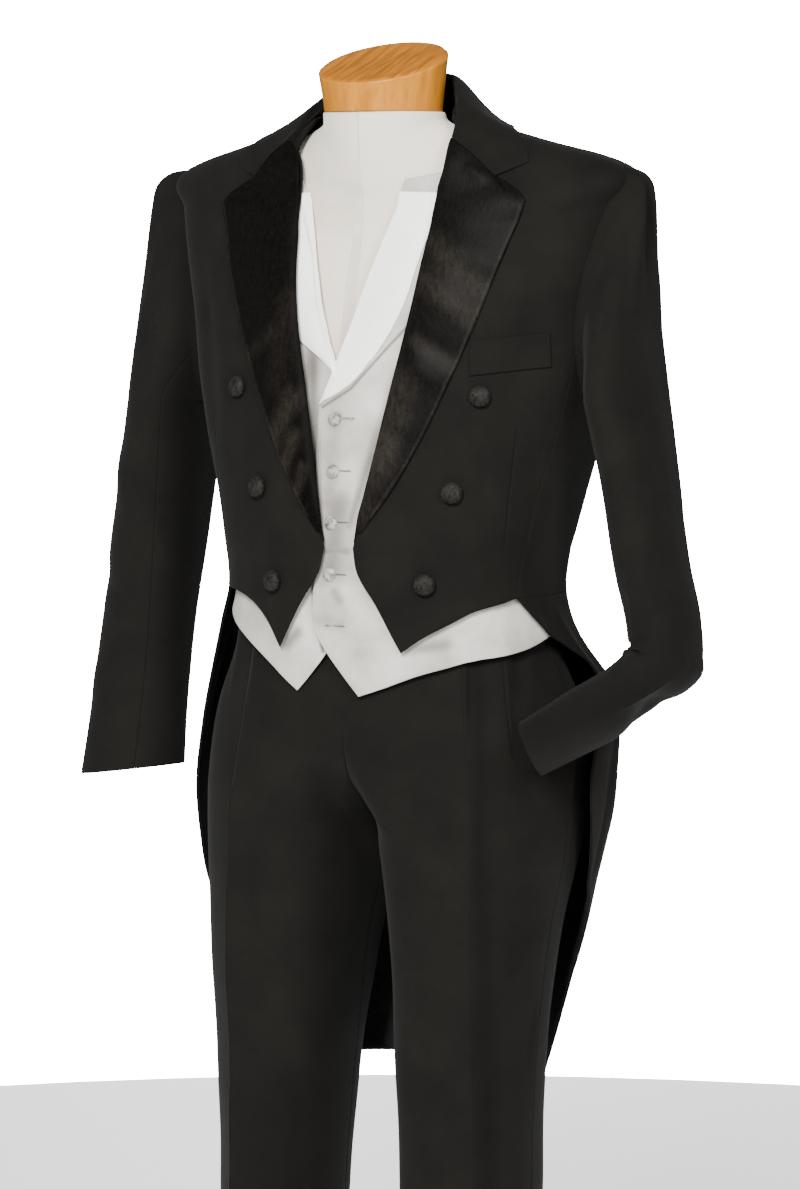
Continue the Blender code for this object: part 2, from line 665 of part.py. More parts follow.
VENT_OPEN = 1.2             # degrees each tail stands off the middle at its hem
VENT_FROM, VENT_RUN = 1.0, 0.45


def coat_back(side, name):
    """A back panel, cut in one with its half of the tail's middle."""
    columns = FRONT_COLUMNS
    vent = 180.0 - VENT_OPEN * ease((VENT_FROM - np.array(TAIL_HEIGHTS)) / VENT_RUN)
    low = tail_grid(side, columns, "seam_angle", 180.0)
    share = np.linspace(0, 1, columns)[None, :]
    low[..., 0] -= share * (180.0 - vent)[:, None]
    seam = side_seam(BACK_SEAM, SIDE_ROWS)
    arm = armhole(np.linspace(360 - BACK_SEAM_AT_ARMHOLE, 360, ARMHOLE_ROWS + 1))
    start = joined(seam, arm)
    middle = np.linspace(WAIST_SEAM, NECK_SEAM, len(start))
    end = np.stack([np.full(len(start), 180.0), middle], -1)
    top = joined(shoulder_seam(SHOULDER_POINTS)[::-1], neck_seam(np.linspace(90, 180, NECK_POINTS)))
    high = fill(low[-1], top, start, end)
    grid = np.concatenate([low, high[1:]])
    outer, away = on_chart(COAT, grid)
    wall(name, outer, away, WOOL, wool, side, seams=("start", "end", "top"))


LAPEL_ROWS, LAPEL_COLUMNS = 17, 7
LAPEL_CLEAR = 0.0010        # between a lapel's edges and its front
LAPEL_BELLY = 0.0042        # how much more its middle stands out
BELLY_FROM, BELLY_RUN = 1.10, 0.10
ROLL_FROM, ROLL_RUN = 1.44, 0.07


def coat_lapel(side, name):
    """The turned-back lapel: the front's own surface moved out, with a soft roll."""
    rows, columns = LAPEL_ROWS, LAPEL_COLUMNS
    shift = side * COAT_SHIFT
    heights = np.linspace(LAPEL_BREAK + LAPEL_POINT, LAPEL_TIP[1], rows)
    edge = chart_of(ROLL.at("edge", heights) + shift, heights)
    heights = np.linspace(LAPEL_BREAK + LAPEL_POINT, FOLD_TOP, rows - RISE_POINTS + 1)
    start = joined(fold_chart(side, heights), front_edge(side)[-RISE_POINTS:])
    notch = chart_of(NOTCH[0] + shift, NOTCH[1])
    top = joined(spaced([start[-1], notch], 5), spaced([notch, edge[-1]], 3))
    share = np.linspace(0, 1, columns)[:, None]
    grid = fill(start[0] + (edge[0] - start[0]) * share, top, start, edge)
    share = np.linspace(0, 1, columns)[None, :]
    belly = LAPEL_BELLY * np.sin(np.pi * share**0.7) * ease((grid[..., 1] - BELLY_FROM) / BELLY_RUN)
    roll = GORGE_LIFT * ease((grid[..., 1] - ROLL_FROM) / ROLL_RUN) * (1 - share) ** 2
    outer, away = on_chart(COAT, grid, LAPEL_CLEAR + belly + roll + LAPEL)
    wall(name, outer, away, LAPEL, black_satin, side, seams=("top",), gap=GORGE_GAP)


COLLAR = Table(
    "angle fold_x fold_y fold_z edge_angle edge_height",
    (54.0, 0.0932, -.0620, 1.5080, 67.0, 1.4950),
    (64.0, 0.0905, -.0480, 1.5260, 71.0, 1.5015),
    (78.0, 0.0840, -.0300, 1.5450, 80.0, 1.5065),
    (92.0, 0.0755, -.0120, 1.5570, 95.0, 1.5130),
    (109.0, 0.0640, 0.0060, 1.5660, 110.0, 1.5140),
    (130.0, 0.0460, 0.0270, 1.5720, 130.0, 1.5125),
    (155.0, 0.0230, 0.0400, 1.5740, 155.0, 1.5090),
    (180.0, 0.0000, 0.0440, 1.5750, 180.0, 1.5070),
)
COLLAR_CLEAR = 0.0019
COLLAR_ANGLES = (54.0, 60.0, 67.0, 75.0, 83.0, 91.0, 99.0, 109.0, 122.0, 140.0, 160.0, 180.0)
COLLAR_STEPS = 6
COLLAR_BELLY = 0.0035
# The collar's foot stands clear of the curved neck seam near its front ends
FOOT_RISE, FOOT_IN = 0.0052, 0.0010
FOOT_FROM, FOOT_RUN = 70.0, 25.0
FOLD_ROUND, FOLD_UNDER = 0.0052, 0.0035   # the stand's top, inside and below the fold
COLLAR_RISE_FULL = 0.02     # a fold this high has all of its leaf's belly
COLLAR_ROLL_OUT, COLLAR_ROLL_DOWN = 0.55, 0.10
COLLAR_WAIST_AT = 0.35      # how far down its leaf the collar comes near the coat


def collar_half(side):
    """Half of the collar's rows, from its notch to the middle of the back."""
    shift = side * COAT_SHIFT
    angles = np.array(COLLAR_ANGLES)
    seam = neck_seam(angles)
    edge = np.stack([COLLAR.at("edge_angle", angles), COLLAR.at("edge_height", angles)], -1)
    edge[0] = chart_of(COLLAR_TIP[0] + shift, COLLAR_TIP[1])
    notch = chart_of(NOTCH[0] + shift, NOTCH[1])
    clear = COLLAR_CLEAR + LAPEL
    low, up = on_chart(COAT, seam)
    flat = unit(up * (1, 1, 0))
    fold = np.stack([COLLAR.at(name, angles) for name in ("fold_x", "fold_y", "fold_z")], -1)
    fold[0] = on_chart(COAT, seam[:1], GORGE_LIFT + clear)[0][0]
    rise = (fold - low)[:, 2:]
    belly = COLLAR_BELLY * ease(rise[:, 0] / COLLAR_RISE_FULL)
    near, _ = on_chart(COAT, seam + (edge - seam) * COLLAR_WAIST_AT, clear + belly)
    end, _ = on_chart(COAT, edge, clear)
    first = fold + (flat * COLLAR_ROLL_OUT - UP * COLLAR_ROLL_DOWN) * rise
    t = np.linspace(0, 1, COLLAR_STEPS)[None, :, None]
    fall = (1 - t) ** 3 * fold[:, None] + 3 * (1 - t) ** 2 * t * first[:, None]
    fall = fall + 3 * (1 - t) * t**2 * near[:, None] + t**3 * end[:, None]
    gorge = spaced([seam[0], notch], COLLAR_STEPS - 2)
    gorge = joined(gorge, spaced([notch, edge[0]], 3))
    lift = clear + GORGE_LIFT * np.maximum(1 - np.linspace(0, 1.5, COLLAR_STEPS), 0) ** 2
    fall[0] = on_chart(COAT, gorge, lift)[0]
    near_front = (1 - ease((angles - FOOT_FROM) / FOOT_RUN))[:, None]
    foot = low + UP * (SEAM + FOOT_RISE * near_front) - flat * (0.0010 + FOOT_IN * near_front)
    over = fall[:, 0] - flat * FOLD_ROUND - UP * FOLD_UNDER
    middle = (foot + over) / 2 - flat * 0.0005
    half = np.concatenate([np.stack([foot, middle, over], 1), fall], 1)
    return half * (side, 1, 1)


def coat_collar():
    """Stand and fall in one sheet: up from the neck seam, over, and down on the coat."""
    whole = np.concatenate([collar_half(LEFT), collar_half(RIGHT)[::-1][1:]])
    along = np.gradient(whole, axis=0)
    over_it = np.gradient(whole, axis=1)
    wall("coat_collar", whole, unit(np.cross(over_it, along)), LAPEL, wool, LEFT)


def swept(table, place):
    """Centres, ways and frames of an arm's rings at any places down its table."""
    centre = np.stack([table.at(name, place) for name in ("x", "y", "height")], -1)
    return centre


def sleeve_rings(side, turns, head_rows, arm_rows):
    """Rings of one sleeve, each at the same turns: a blended head, then the arm."""
    table = ARM[side]
    place = np.linspace(0, table.rows[-1, 0], arm_rows)
    centre = swept(table, place)
    ahead = unit(swept(table, place + 0.02) - swept(table, place - 0.02))
    out_axis = np.array([1.0, 0.0, 0.0])
    rings = []
    sides = []
    for i in range(arm_rows):
        out_axis = unit(out_axis - ahead[i] * (out_axis @ ahead[i]))
        front_axis = np.cross(out_axis, ahead[i])
        if i == 0 and front_axis[1] > 0:
            front_axis = -front_axis
        if front_axis @ (sides[-1] if sides else front_axis) < 0:
            front_axis = -front_axis
        sides.append(front_axis)
        spin = math.radians(float(table.at("turn", place[i])))
        first = math.cos(spin) * out_axis + math.sin(spin) * front_axis
        second = -math.sin(spin) * out_axis + math.cos(spin) * front_axis
        angle = np.radians(turns)[:, None] - spin
        ring = float(table.at("out", place[i])) * np.cos(angle) * first
        ring = ring + float(table.at("front", place[i])) * np.sin(angle) * second
        ring = ring + ahead[i] * (ring @ first)[:, None] * float(table.at("slant", place[i]))
        rings.append(centre[i] + ring)
    rings = np.array(rings)
    hole, _ = on_chart(COAT, armhole(turns))
    hole = hole + (SLEEVE_CLEAR, 0, 0)
    crown = np.maximum(np.cos(np.radians(turns)), 0)[:, None]
    ahead_share = 0.5 + 0.5 * np.sin(np.radians(turns))[:, None]
    crown_out = CROWN_BACK + (CROWN_FRONT - CROWN_BACK) * ahead_share
    stand_out = CROWN_SIDE + (crown_out - CROWN_SIDE) * crown**0.6
    corner = hole + stand_out * np.array([1.0, 0.0, 0.0])
    corner = corner + UP * (CROWN_UP * crown - CROWN_DOWN * (1 - crown))
    far = rings[0]
    span = np.linalg.norm(far - corner, axis=-1, keepdims=True)
    leave = span * HEAD_OUT * unit(np.array([1.0, 0.0, -HEAD_FALL]))
    arrive = span * HEAD_DOWN * ahead[0]
    t = np.linspace(0, 1, head_rows - 1)[:, None, None]
    head = (2 * t**3 - 3 * t**2 + 1) * corner + (t**3 - 2 * t**2 + t) * leave
    head = head + (3 * t**2 - 2 * t**3) * far + (t**3 - t**2) * arrive
    return np.concatenate([hole[None], head, rings[1:]])


def sleeve_piece(side, name, first_turn, last_turn, columns, rows=slice(None), joins=()):
    """One of the sleeve's pieces: the rings between its two seams, or some rows of them."""
    turns = np.linspace(first_turn, last_turn, columns)
    step = 2.0
    rings = sleeve_rings(side, turns, HEAD_ROWS, ARM_ROWS)
    near = sleeve_rings(side, turns - step, HEAD_ROWS, ARM_ROWS)
    far = sleeve_rings(side, turns + step, HEAD_ROWS, ARM_ROWS)
    along = np.gradient(rings, axis=0)
    away = unit(np.cross(far - near, along))
    whole = sleeve_rings(side, np.arange(0, 360, 20.0), HEAD_ROWS, ARM_ROWS).mean(1, keepdims=True)
    facing = np.sign(((rings - whole) * away).sum(-1, keepdims=True))
    away = away * np.sign(facing.sum())
    wall(name, rings[rows], away[rows], WOOL, wool, side, seams=("start", "end", *joins))


def breast_welt():
    """A band of cloth over the pocket's mouth, moved out from the front."""
    rows, columns = 4, 8
    u = np.linspace(0, 1, columns)[None, :]
    v = np.linspace(0, 1, rows)[:, None]
    x = WELT_IN[0] + (WELT_OUT[0] - WELT_IN[0]) * u + 0 * v
    z = WELT_IN[1] + (WELT_OUT[1] - WELT_IN[1]) * u + WELT_HIGH * (v - 0.5)
    chart = chart_of(x + COAT_SHIFT, z)
    outer, away = on_chart(COAT, chart, WELT_CLEAR + SATIN)
    wall("coat_breast_welt", outer, away, SATIN, wool, LEFT)


def turned(name, profile, sides, material):
    """A profile of radii and heights turned about +Z by a Screw modifier."""
    mesh = bpy.data.meshes.new(name)
    edges = [(i, i + 1) for i in range(len(profile) - 1)]
    mesh.from_pydata([(radius, 0.0, height) for radius, height in profile], edges, [])
    piece = bpy.data.objects.new(name, mesh)
    collection.objects.link(piece)
    mesh.materials.append(material)
    screw = piece.modifiers.new("turned", "SCREW")
    screw.steps = sides
    screw.render_steps = sides
    screw.use_merge_vertices = True
    screw.merge_threshold = 0.00001
    return piece


DOME_STEPS, BUTTON_SIDES = 4, 10
RIM_SHARE, FOOT_SHARE, SHANK_SHARE = 0.30, 0.93, 0.20   # of a button's height, radius, width


def turned_button(name, panel, chart, side, wide, high, shank, material):
    """A covered button: a domed profile turned about its own axis, with a short shank."""
    profile = [(0.0, shank + high)]
    for turn in np.radians(np.linspace(0, 90, DOME_STEPS + 1)[1:]):
        tall = RIM_SHARE + (1 - RIM_SHARE) * math.cos(turn)
        profile.append((wide / 2 * math.sin(turn), shank + high * tall))
    profile.append((wide / 2 * FOOT_SHARE, shank))
    if shank:
        profile += [(wide * SHANK_SHARE, shank), (wide * SHANK_SHARE, 0.0)]
    profile.append((0.0, 0.0))
    piece = turned(name, profile, BUTTON_SIDES, material)
    spot, away = on_chart(COAT, np.array([chart]))
    spot, away = laid_on(panel, leaned(spot * (side, 1, 1)), away * (side, 1, 1))
    piece.location = spot[0] + away[0] * BUTTON_CLEAR
    piece.rotation_mode = "QUATERNION"
    piece.rotation_quaternion = Vector(away[0]).to_track_quat("Z", "Y")


def coat_buttons():
    """Three on each front, and one at each side of the back's waist."""
    sizes = (BUTTON_WIDE, BUTTON_HIGH, SHANK, black_satin)
    for side, label in ((LEFT, "l"), (RIGHT, "r")):
        rows = COAT_BUTTONS.rows[COAT_BUTTONS.column("side") == side]
        for number, (_, from_middle, height) in enumerate(rows, start=1):
            chart = chart_of(from_middle, height)
            turned_button(f"coat_button_{label}_{number}", f"coat_front_{label}", chart, side, *sizes)
        chart = np.array([BACK_BUTTON_ANGLE, BACK_BUTTON_HEIGHT])
        turned_button(f"coat_back_button_{label}", f"coat_back_{label}", chart, side, *sizes)


def vest_chart(side, x, z):
    return chart_of(x + side * VEST_SHIFT, z)


DIP_TO, DIP_RUN = 9.0, 10.0     # degrees from the middle over which the right front dips


def vest_depth(side, chart):
    """The right front dips under the left one along the middle."""
    if side == LEFT:
        return np.full(chart.shape[:-1], -VEST_DEEP)
    blend = ease((chart[..., 0] - DIP_TO) / DIP_RUN)
    return -VEST_UNDER + (VEST_UNDER - VEST_DEEP) * blend


def vest_side_seam(low):
    """Up the side from a hem: both panels share all but the lowest point."""
    heights = np.concatenate([[low], np.linspace(VEST_SIDE_FROM, VEST_ARM_LOW, 5)])
    return np.stack([np.full(len(heights), VEST_SIDE_ANGLE), heights], -1)


VEST_ARMHOLE = Table(
    "place angle height",
    (0, 92.0, 1.228), (1, 74.0, 1.242), (2, 62.0, 1.285), (3, 57.5, 1.350),
    (4, 60.0, 1.420), (5, 74.0, 1.470), (6, 90.0, 1.494),
)
VEST_BACK_ARMHOLE = Table(
    "place angle height",
    (0, 92.0, 1.228), (1, 108.0, 1.245), (2, 118.0, 1.290), (3, 121.0, 1.350),
    (4, 119.0, 1.420), (5, 107.0, 1.470), (6, 90.0, 1.494),
)


def table_run(table, count):
    place = np.linspace(0, table.rows[-1, 0], count)
    return np.stack([table.at("angle", place), table.at("height", place)], -1)


VEST_ARM_LOW = 1.228        # the bottom of its armholes
VEST_OVERLAP_TOP = 1.239    # where its fold begins
VEST_FOLD_TOP = 1.465
VEST_NECK_MIDDLE = (62.0, 1.505)
VEST_UNDER_FOLD = 0.004     # the right front's fold lies this much further out
VEST_BACK_NECK = ((130.0, 1.519), (180.0, 1.520))


def vest_front(side, name):
    columns = 8
    edge = VEST_EDGE[side]
    low = np.linspace(edge.rows[0, 0], edge.rows[-1, 0], 10)
    below = vest_chart(side, edge.at("from_middle", low), low)
    high = np.linspace(VEST_OVERLAP_TOP, VEST_FOLD_TOP, 6)
    further = 0.0 if side == LEFT else VEST_UNDER_FOLD
    fold = vest_chart(side, VEST_FOLD.at("from_middle", high) + further, high)
    neck = spaced([fold[-1], VEST_NECK_MIDDLE, (90.0, VEST_SHOULDER_IN)], 3)
    start = joined(spaced(below, 9), spaced([below[-1], *fold[1:]], 6), neck)
    hem = VEST_HEM[side]
    x = np.linspace(hem.rows[0, 0], hem.rows[-1, 0], columns)
    bottom = vest_chart(side, x, hem.at("height", x))
    bottom[-1] = (VEST_SIDE_ANGLE, hem.rows[-1, 1] + 0.006)
    bottom = spaced(bottom, columns)
    seam = vest_side_seam(bottom[-1, 1])
    end = joined(seam, table_run(VEST_ARMHOLE, len(start) - len(seam) + 1))
    top = np.stack([np.full(columns, 90.0), np.linspace(VEST_SHOULDER_IN, VEST_SHOULDER_OUT, columns)], -1)
    grid = fill(bottom, top, start, end)
    outer, away = on_chart(COAT, grid, vest_depth(side, grid))
    wall(name, outer, away, SATIN, white_satin, side, seams=("end", "top"), gap=2 * SEAM)


def vest_back():
    """The waistcoat's back, whole from side seam to side seam."""
    columns = 6
    low = VEST_BACK_HEM
    seam = vest_side_seam(low)
    start = joined(seam, table_run(VEST_BACK_ARMHOLE, 7))
    middle = np.linspace(low, VEST_BACK_NECK[-1][1], len(start))
    end = np.stack([np.full(len(start), 180.0), middle], -1)
    bottom = np.stack([np.linspace(VEST_SIDE_ANGLE, 180, columns), np.full(columns, low)], -1)
    shoulder = np.stack([np.full(3, 90.0), np.linspace(VEST_SHOULDER_OUT, VEST_SHOULDER_IN, 3)], -1)
    neck = spaced([(90.0, VEST_SHOULDER_IN), *VEST_BACK_NECK], columns - 2)
    top = joined(shoulder, neck)
    grid = fill(bottom, top, start, end)
    half, half_away = on_chart(COAT, grid, -VEST_DEEP)
    turned = half[:, ::-1][:, 1:] * (-1, 1, 1)
    turned_away = half_away[:, ::-1][:, 1:] * (-1, 1, 1)
    outer = np.concatenate([half, turned], 1)
    away = np.concatenate([half_away, turned_away], 1)
    wall("vest_back", outer, away, SATIN, white_satin, LEFT, seams=("start", "end", "top"), gap=2 * SEAM)


VEST_LAPEL_FROM = {LEFT: 1.246, RIGHT: 1.292}
VEST_LAPEL_TO = 1.452
VEST_LAPEL_IN = 0.0015      # from the front's edge
VEST_LAPEL_BELLY = 0.0016


def vest_lapel(side, name):
    """A shawl lapel laid on its front: the front's surface moved out."""
    rows, columns = 10, 5
    heights = np.linspace(VEST_LAPEL_FROM[side], VEST_LAPEL_TO, rows)
    fold = vest_chart(side, VEST_FOLD.at("from_middle", heights) + VEST_LAPEL_IN, heights)
    edge = vest_chart(side, VEST_LAPEL_EDGE.at("from_middle", heights), heights)
    share = np.linspace(0, 1, columns)[None, :, None]
    grid = fold[:, None] + (edge - fold)[:, None] * share
    belly = VEST_LAPEL_BELLY * np.sin(np.pi * np.linspace(0, 1, columns))[None, :, None]
    outer, away = on_chart(COAT, grid, -VEST_DEEP)
    turn = np.array([side, 1, 1])
    down, _ = laid_on(f"vest_front_{name[-1]}", leaned_grid(outer * turn), away * turn)
    drop = ((down - leaned_grid(outer * turn)) * away * turn).sum(-1, keepdims=True)
    wall(name, outer + away * (drop + VEST_LAPEL_CLEAR + SATIN + belly), away, SATIN, white_satin, side)


def vest_buttons():
    sizes = (VEST_BUTTON_WIDE, VEST_BUTTON_HIGH, 0.0, white_satin)
    for number, (height, x) in enumerate(VEST_BUTTONS.rows, start=1):
        turned_button(f"vest_button_{number}", "vest_front_l", chart_of(x, height), LEFT, *sizes)


def leg_point(side, angle, height, middle=True):
    """A trouser leg's surface: 0 at its outer side, 90 in front, 180 inside."""
    table = LEG[side]
    angle, height = np.broadcast_arrays(np.asarray(angle, float), np.asarray(height, float))
    turn = np.radians(angle)
    c, s = np.cos(turn), np.sin(turn)
    power = 2 / table.at("square", height)
    deep = np.where(s > 0, table.at("front", height), table.at("back", height))
    near = (np.abs(angle) - CREASE.at("angle", height)) / CREASE_SPREAD
    deep = deep + CREASE_HIGH * table.at("crease", height) * np.exp(-near**2)
    x = table.at("half_wide", height) * np.sign(c) * np.abs(c) ** power
    y = -deep * np.sign(s) * np.abs(s) ** power
    spin = np.radians(table.at("turn", height)) * -1
    px = x * np.cos(spin) - y * np.sin(spin)
    py = x * np.sin(spin) + y * np.cos(spin)
    x = table.at("mid_x", height) + px
    if middle:
        x = np.maximum(x, MIDDLE_CLEAR)
    return np.stack([x, table.at("mid_y", height) + py, height], -1)


def middle_angle(side, height):
    """Where a leg's section reaches the middle plane: 180 below the crotch."""
    table = LEG[side]
    ratio = np.clip(table.at("mid_x", height) / table.at("half_wide", height), 0, 1)
    power = table.at("square", height) / 2
    return 90 + np.degrees(np.arcsin(np.clip(ratio**power, 0, 1)))


def leg_panel(side, name, front):
    """One trouser panel, from the side seam to the middle seam and the inseam."""
    columns = 9
    heights = np.array(LEG_ROWS)
    last = middle_angle(side, heights)
    last = np.where(heights <= CROTCH, 180.0, last)
    half = (columns + 1) // 2
    crease = CREASE.at("angle", heights)[:, None]
    share = np.linspace(0, 1, half)[None, :]
    second = crease + (last[:, None] - crease) * share
    angle = np.concatenate([crease * share, second[:, 1:]], 1)
    angle = angle if front else -angle
    tall = heights[:, None] + angle * 0
    outer = leg_point(side, angle, tall)
    step = 0.6
    along = leg_point(side, angle + step, tall) - leg_point(side, angle - step, tall)
    up = leg_point(side, angle, tall + 0.002) - leg_point(side, angle, tall - 0.002)
    away = unit(np.cross(up, along))
    wall(name, outer, away, TROUSER_WALL, wool, side, seams=("start", "end", "top"))


def waistband():
    """The trousers' band: a ring round the form's waist, above the panels."""
    count = 28
    angle = np.linspace(0, 360, count, endpoint=False)[None, :]
    heights = np.array([TROUSER_TOP + SEAM, WAISTBAND_TOP])[:, None]
    base = leg_point(LEFT, angle, np.full((2, count), TROUSER_TOP), middle=False)
    base[..., 2] = heights + 0 * angle
    centre = base.mean(1, keepdims=True)
    centre[..., 2] = base[..., 2].mean(1, keepdims=True)
    away = unit((base - centre) * (1, 1, 0))
    wall("trouser_waistband", base, away, BAND_WALL, wool, LEFT, ring=True)


def loft(name, rings, material, side=LEFT):
    """A closed solid through rings of equal counts, with flat ends."""
    rows, columns = rings.shape[:2]
    number = np.arange(rows * columns).reshape(rows, columns)
    faces = []
    for i in range(rows - 1):
        for j in range(columns):
            k = (j + 1) % columns
            faces.append((number[i, j], number[i, k], number[i + 1, k], number[i + 1, j]))
    faces.append(tuple(number[0]))
    faces.append(tuple(number[-1][::-1]))
    return add_object(name, rings.reshape(-1, 3), faces, material)


FORM_ROWS = (
    0.868, 0.874, 0.885, 0.930, 0.980, 1.030, 1.080, 1.150, 1.220, 1.300, 1.370, 1.410,
    1.434, 1.460, 1.4745, 1.4862, 1.4995, 1.513, 1.522, 1.532,
)
FORM_SIDES = 24


def form_torso():
    """The form's jersey-covered torso, smooth and whole from its flat base to its neck."""
    angle = np.linspace(0, 360, FORM_SIDES, endpoint=False)
    loft("form_torso", section_point(FORM, angle[None, :], np.array(FORM_ROWS)[:, None]), jersey)


# The neck block's rings: their half sizes, and how far each is up to the slanted top
NECK_BLOCK = Table(
    "half_wide half_deep up",
    (0.0618, 0.0529, 0.0), (0.0630, 0.0541, 0.25), (0.0664, 0.0573, 0.72),
    (0.0681, 0.0589, 0.95), (0.0645, 0.0558, 1.0),
)
NECK_Y = -0.038


def form_neck():
    """The wooden neck block: an oval column with its top cut forward and down."""
    turn = np.radians(np.linspace(0, 360, FORM_SIDES, endpoint=False))
    low_z = FORM_ROWS[-1] + SEAM
    rings = []
    for half_wide, half_deep, share in NECK_BLOCK.rows:
        y = NECK_Y - half_deep * np.cos(turn)
        high_z = NECK_TOP + (y - NECK_Y) * math.tan(NECK_TILT)
        rings.append(np.stack([half_wide * np.sin(turn), y, low_z + (high_z - low_z) * share], -1))
    loft("form_neck", np.array(rings), pale_wood)


BASE_PROFILE = Table(
    "radius height",
    (0.0, BASE_HIGH), (0.150, BASE_HIGH), (0.180, 0.012), (0.204, 0.006),
    (BASE_WIDE / 2, 0.003), (BASE_WIDE / 2, 0.0),
)
BASE_SIDES, POLE_SIDES = 40, 20


def stand():
    """A steel pole up the left trouser leg from a turned round base."""
    top = FORM_BOTTOM - SEAM
    bottom = BASE_HIGH + SEAM
    bpy.ops.mesh.primitive_cylinder_add(
        vertices=POLE_SIDES, radius=POLE_WIDE / 2, depth=top - bottom,
        location=(POLE_X, POLE_Y, (top + bottom) / 2),
    )
    pole = bpy.context.object
    pole.name = "stand_pole"
    pole.data.name = "stand_pole"
    pole.data.materials.append(steel)
    pole.data.shade_smooth()
    pole.data.set_sharp_from_angle(angle=math.radians(40))
    move_to_collection(pole)
    turned("stand_base", [tuple(row) for row in BASE_PROFILE.rows] + [(0.0, 0.0)], BASE_SIDES, steel)


def move_to_collection(piece):
    for other in list(piece.users_collection):
        other.objects.unlink(piece)
    collection.objects.link(piece)


def finish(name, colour, roughness, metallic=0.0):
    material = bpy.data.materials.new(name)
    material.use_nodes = True
    shader = material.node_tree.nodes["Principled BSDF"]
    shader.inputs["Base Color"].default_value = colour
    shader.inputs["Roughness"].default_value = roughness
    shader.inputs["Metallic"].default_value = metallic
    material.diffuse_color = colour
    return material


for old in list(bpy.data.objects):
    bpy.data.objects.remove(old, do_unlink=True)
collection = bpy.data.collections.new("tailcoat_suit")
bpy.context.scene.collection.children.link(collection)
wool = finish("black_wool", INK, 0.85)
black_satin = finish("black_satin", BLACK_SATIN, 0.35)
white_satin = finish("white_satin", WHITE_SATIN, 0.45)
jersey = finish("cream_jersey", CREAM, 0.9)
pale_wood = finish("pale_wood", PALE_WOOD, 0.4)
steel = finish("brushed_steel", STEEL, 0.3, 1.0)

for side, label in ((LEFT, "l"), (RIGHT, "r")):
    coat_front(side, f"coat_front_{label}")
    coat_side(side, f"coat_side_{label}")
    coat_back(side, f"coat_back_{label}")
    coat_skirt(side, f"coat_skirt_{label}")
    tail_lining(side, f"coat_tail_lining_{label}")
    coat_lapel(side, f"coat_lapel_{label}")
    turns = (SLEEVE_FRONT_SEAM, SLEEVE_BACK_SEAM, UNDERSLEEVE_COLUMNS)
    sleeve_piece(side, f"coat_topsleeve_{label}", SLEEVE_BACK_SEAM - 360, SLEEVE_FRONT_SEAM,
                 TOPSLEEVE_COLUMNS)
    if side == LEFT:
        upper, lower = slice(ELBOW_ROW + 1), slice(ELBOW_ROW, None)
        sleeve_piece(side, "coat_undersleeve_l", *turns, rows=upper, joins=("top",))
        sleeve_piece(side, "coat_underforearm_l", *turns, rows=lower, joins=("bottom",))
    else:
        sleeve_piece(side, "coat_undersleeve_r", *turns)
    vest_front(side, f"vest_front_{label}")
    vest_lapel(side, f"vest_lapel_{label}")
    leg_panel(side, f"trouser_front_{label}", True)
    leg_panel(side, f"trouser_back_{label}", False)
coat_collar()
breast_welt()
coat_buttons()
vest_back()
vest_buttons()
waistband()
form_torso()
form_neck()
stand()
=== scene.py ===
"""The looks of a tailcoat suit on its dress form.

Metres, +Z up. The front faces -Y and +X is the wearer's left. Each panel of cloth is
worked out from the tailor's tables on a fine grid: a chart of rounded sections, read at an
angle and a height, with seams drawn on it. Creases and soft wander are pressed into the
grid along its outward directions, and the grid is given a wall with rounded edges.
Tables are written as text, with a comma or a new line between rows. Creases are in
millimetres and everything else is in metres and degrees.
"""

import math

import bpy
import numpy as np
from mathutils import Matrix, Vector
from mathutils.bvhtree import BVHTree


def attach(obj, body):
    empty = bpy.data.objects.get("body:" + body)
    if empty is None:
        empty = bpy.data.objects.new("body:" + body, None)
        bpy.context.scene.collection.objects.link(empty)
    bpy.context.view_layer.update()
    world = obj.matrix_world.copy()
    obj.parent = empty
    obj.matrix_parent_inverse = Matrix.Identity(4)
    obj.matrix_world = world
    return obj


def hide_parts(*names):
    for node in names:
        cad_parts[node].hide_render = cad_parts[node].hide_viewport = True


SEAM = 0.0003
WOOL = 0.0018
TROUSER_WALL = 0.0016
BAND_WALL = 0.0024
SATIN = 0.0014
LINING = 0.0010
LAPEL = 0.0022
LEFT, RIGHT = 1, -1
OUT, UP = np.array([1.0, 0.0, 0.0]), np.array([0.0, 0.0, 1.0])
AHEAD = np.array([0.0, -1.0, 0.0])

WAIST_SEAM, NECK_SEAM, SHOULDER_TIP = 1.049, 1.530, 1.472
COAT_SHIFT, VEST_SHIFT = 0.0055, -0.012
LEAN, LEAN_FROM, LEAN_TO = -0.005, 1.10, 1.39

ARMHOLE_MID, ARMHOLE_RISE = 1.3565, 0.1155
ARMHOLE_SIDE, ARMHOLE_FRONT, ARMHOLE_BACK = 90.0, 19.5, 27.0
SIDE_SEAM_AT_ARMHOLE, BACK_SEAM_AT_ARMHOLE = 122.0, 108.0

VEST_DEEP, VEST_UNDER = 0.0080, 0.0112

BUTTON_WIDE, BUTTON_HIGH, SHANK = 0.0215, 0.0075, 0.0025
VEST_BUTTON_WIDE, VEST_BUTTON_HIGH = 0.0140, 0.0040
BUTTON_CLEAR = 0.0004
VEST_LAPEL_CLEAR = 0.0007

CROTCH, TROUSER_TOP, WAISTBAND_TOP = 0.818, 1.046, 1.078

BASE_HIGH = 0.024
POLE_WIDE, POLE_X, POLE_Y = 0.028, 0.100, -0.050
FORM_BOTTOM = 0.868
NECK_TILT, NECK_TOP, NECK_Y = math.radians(21), 1.584, -0.038


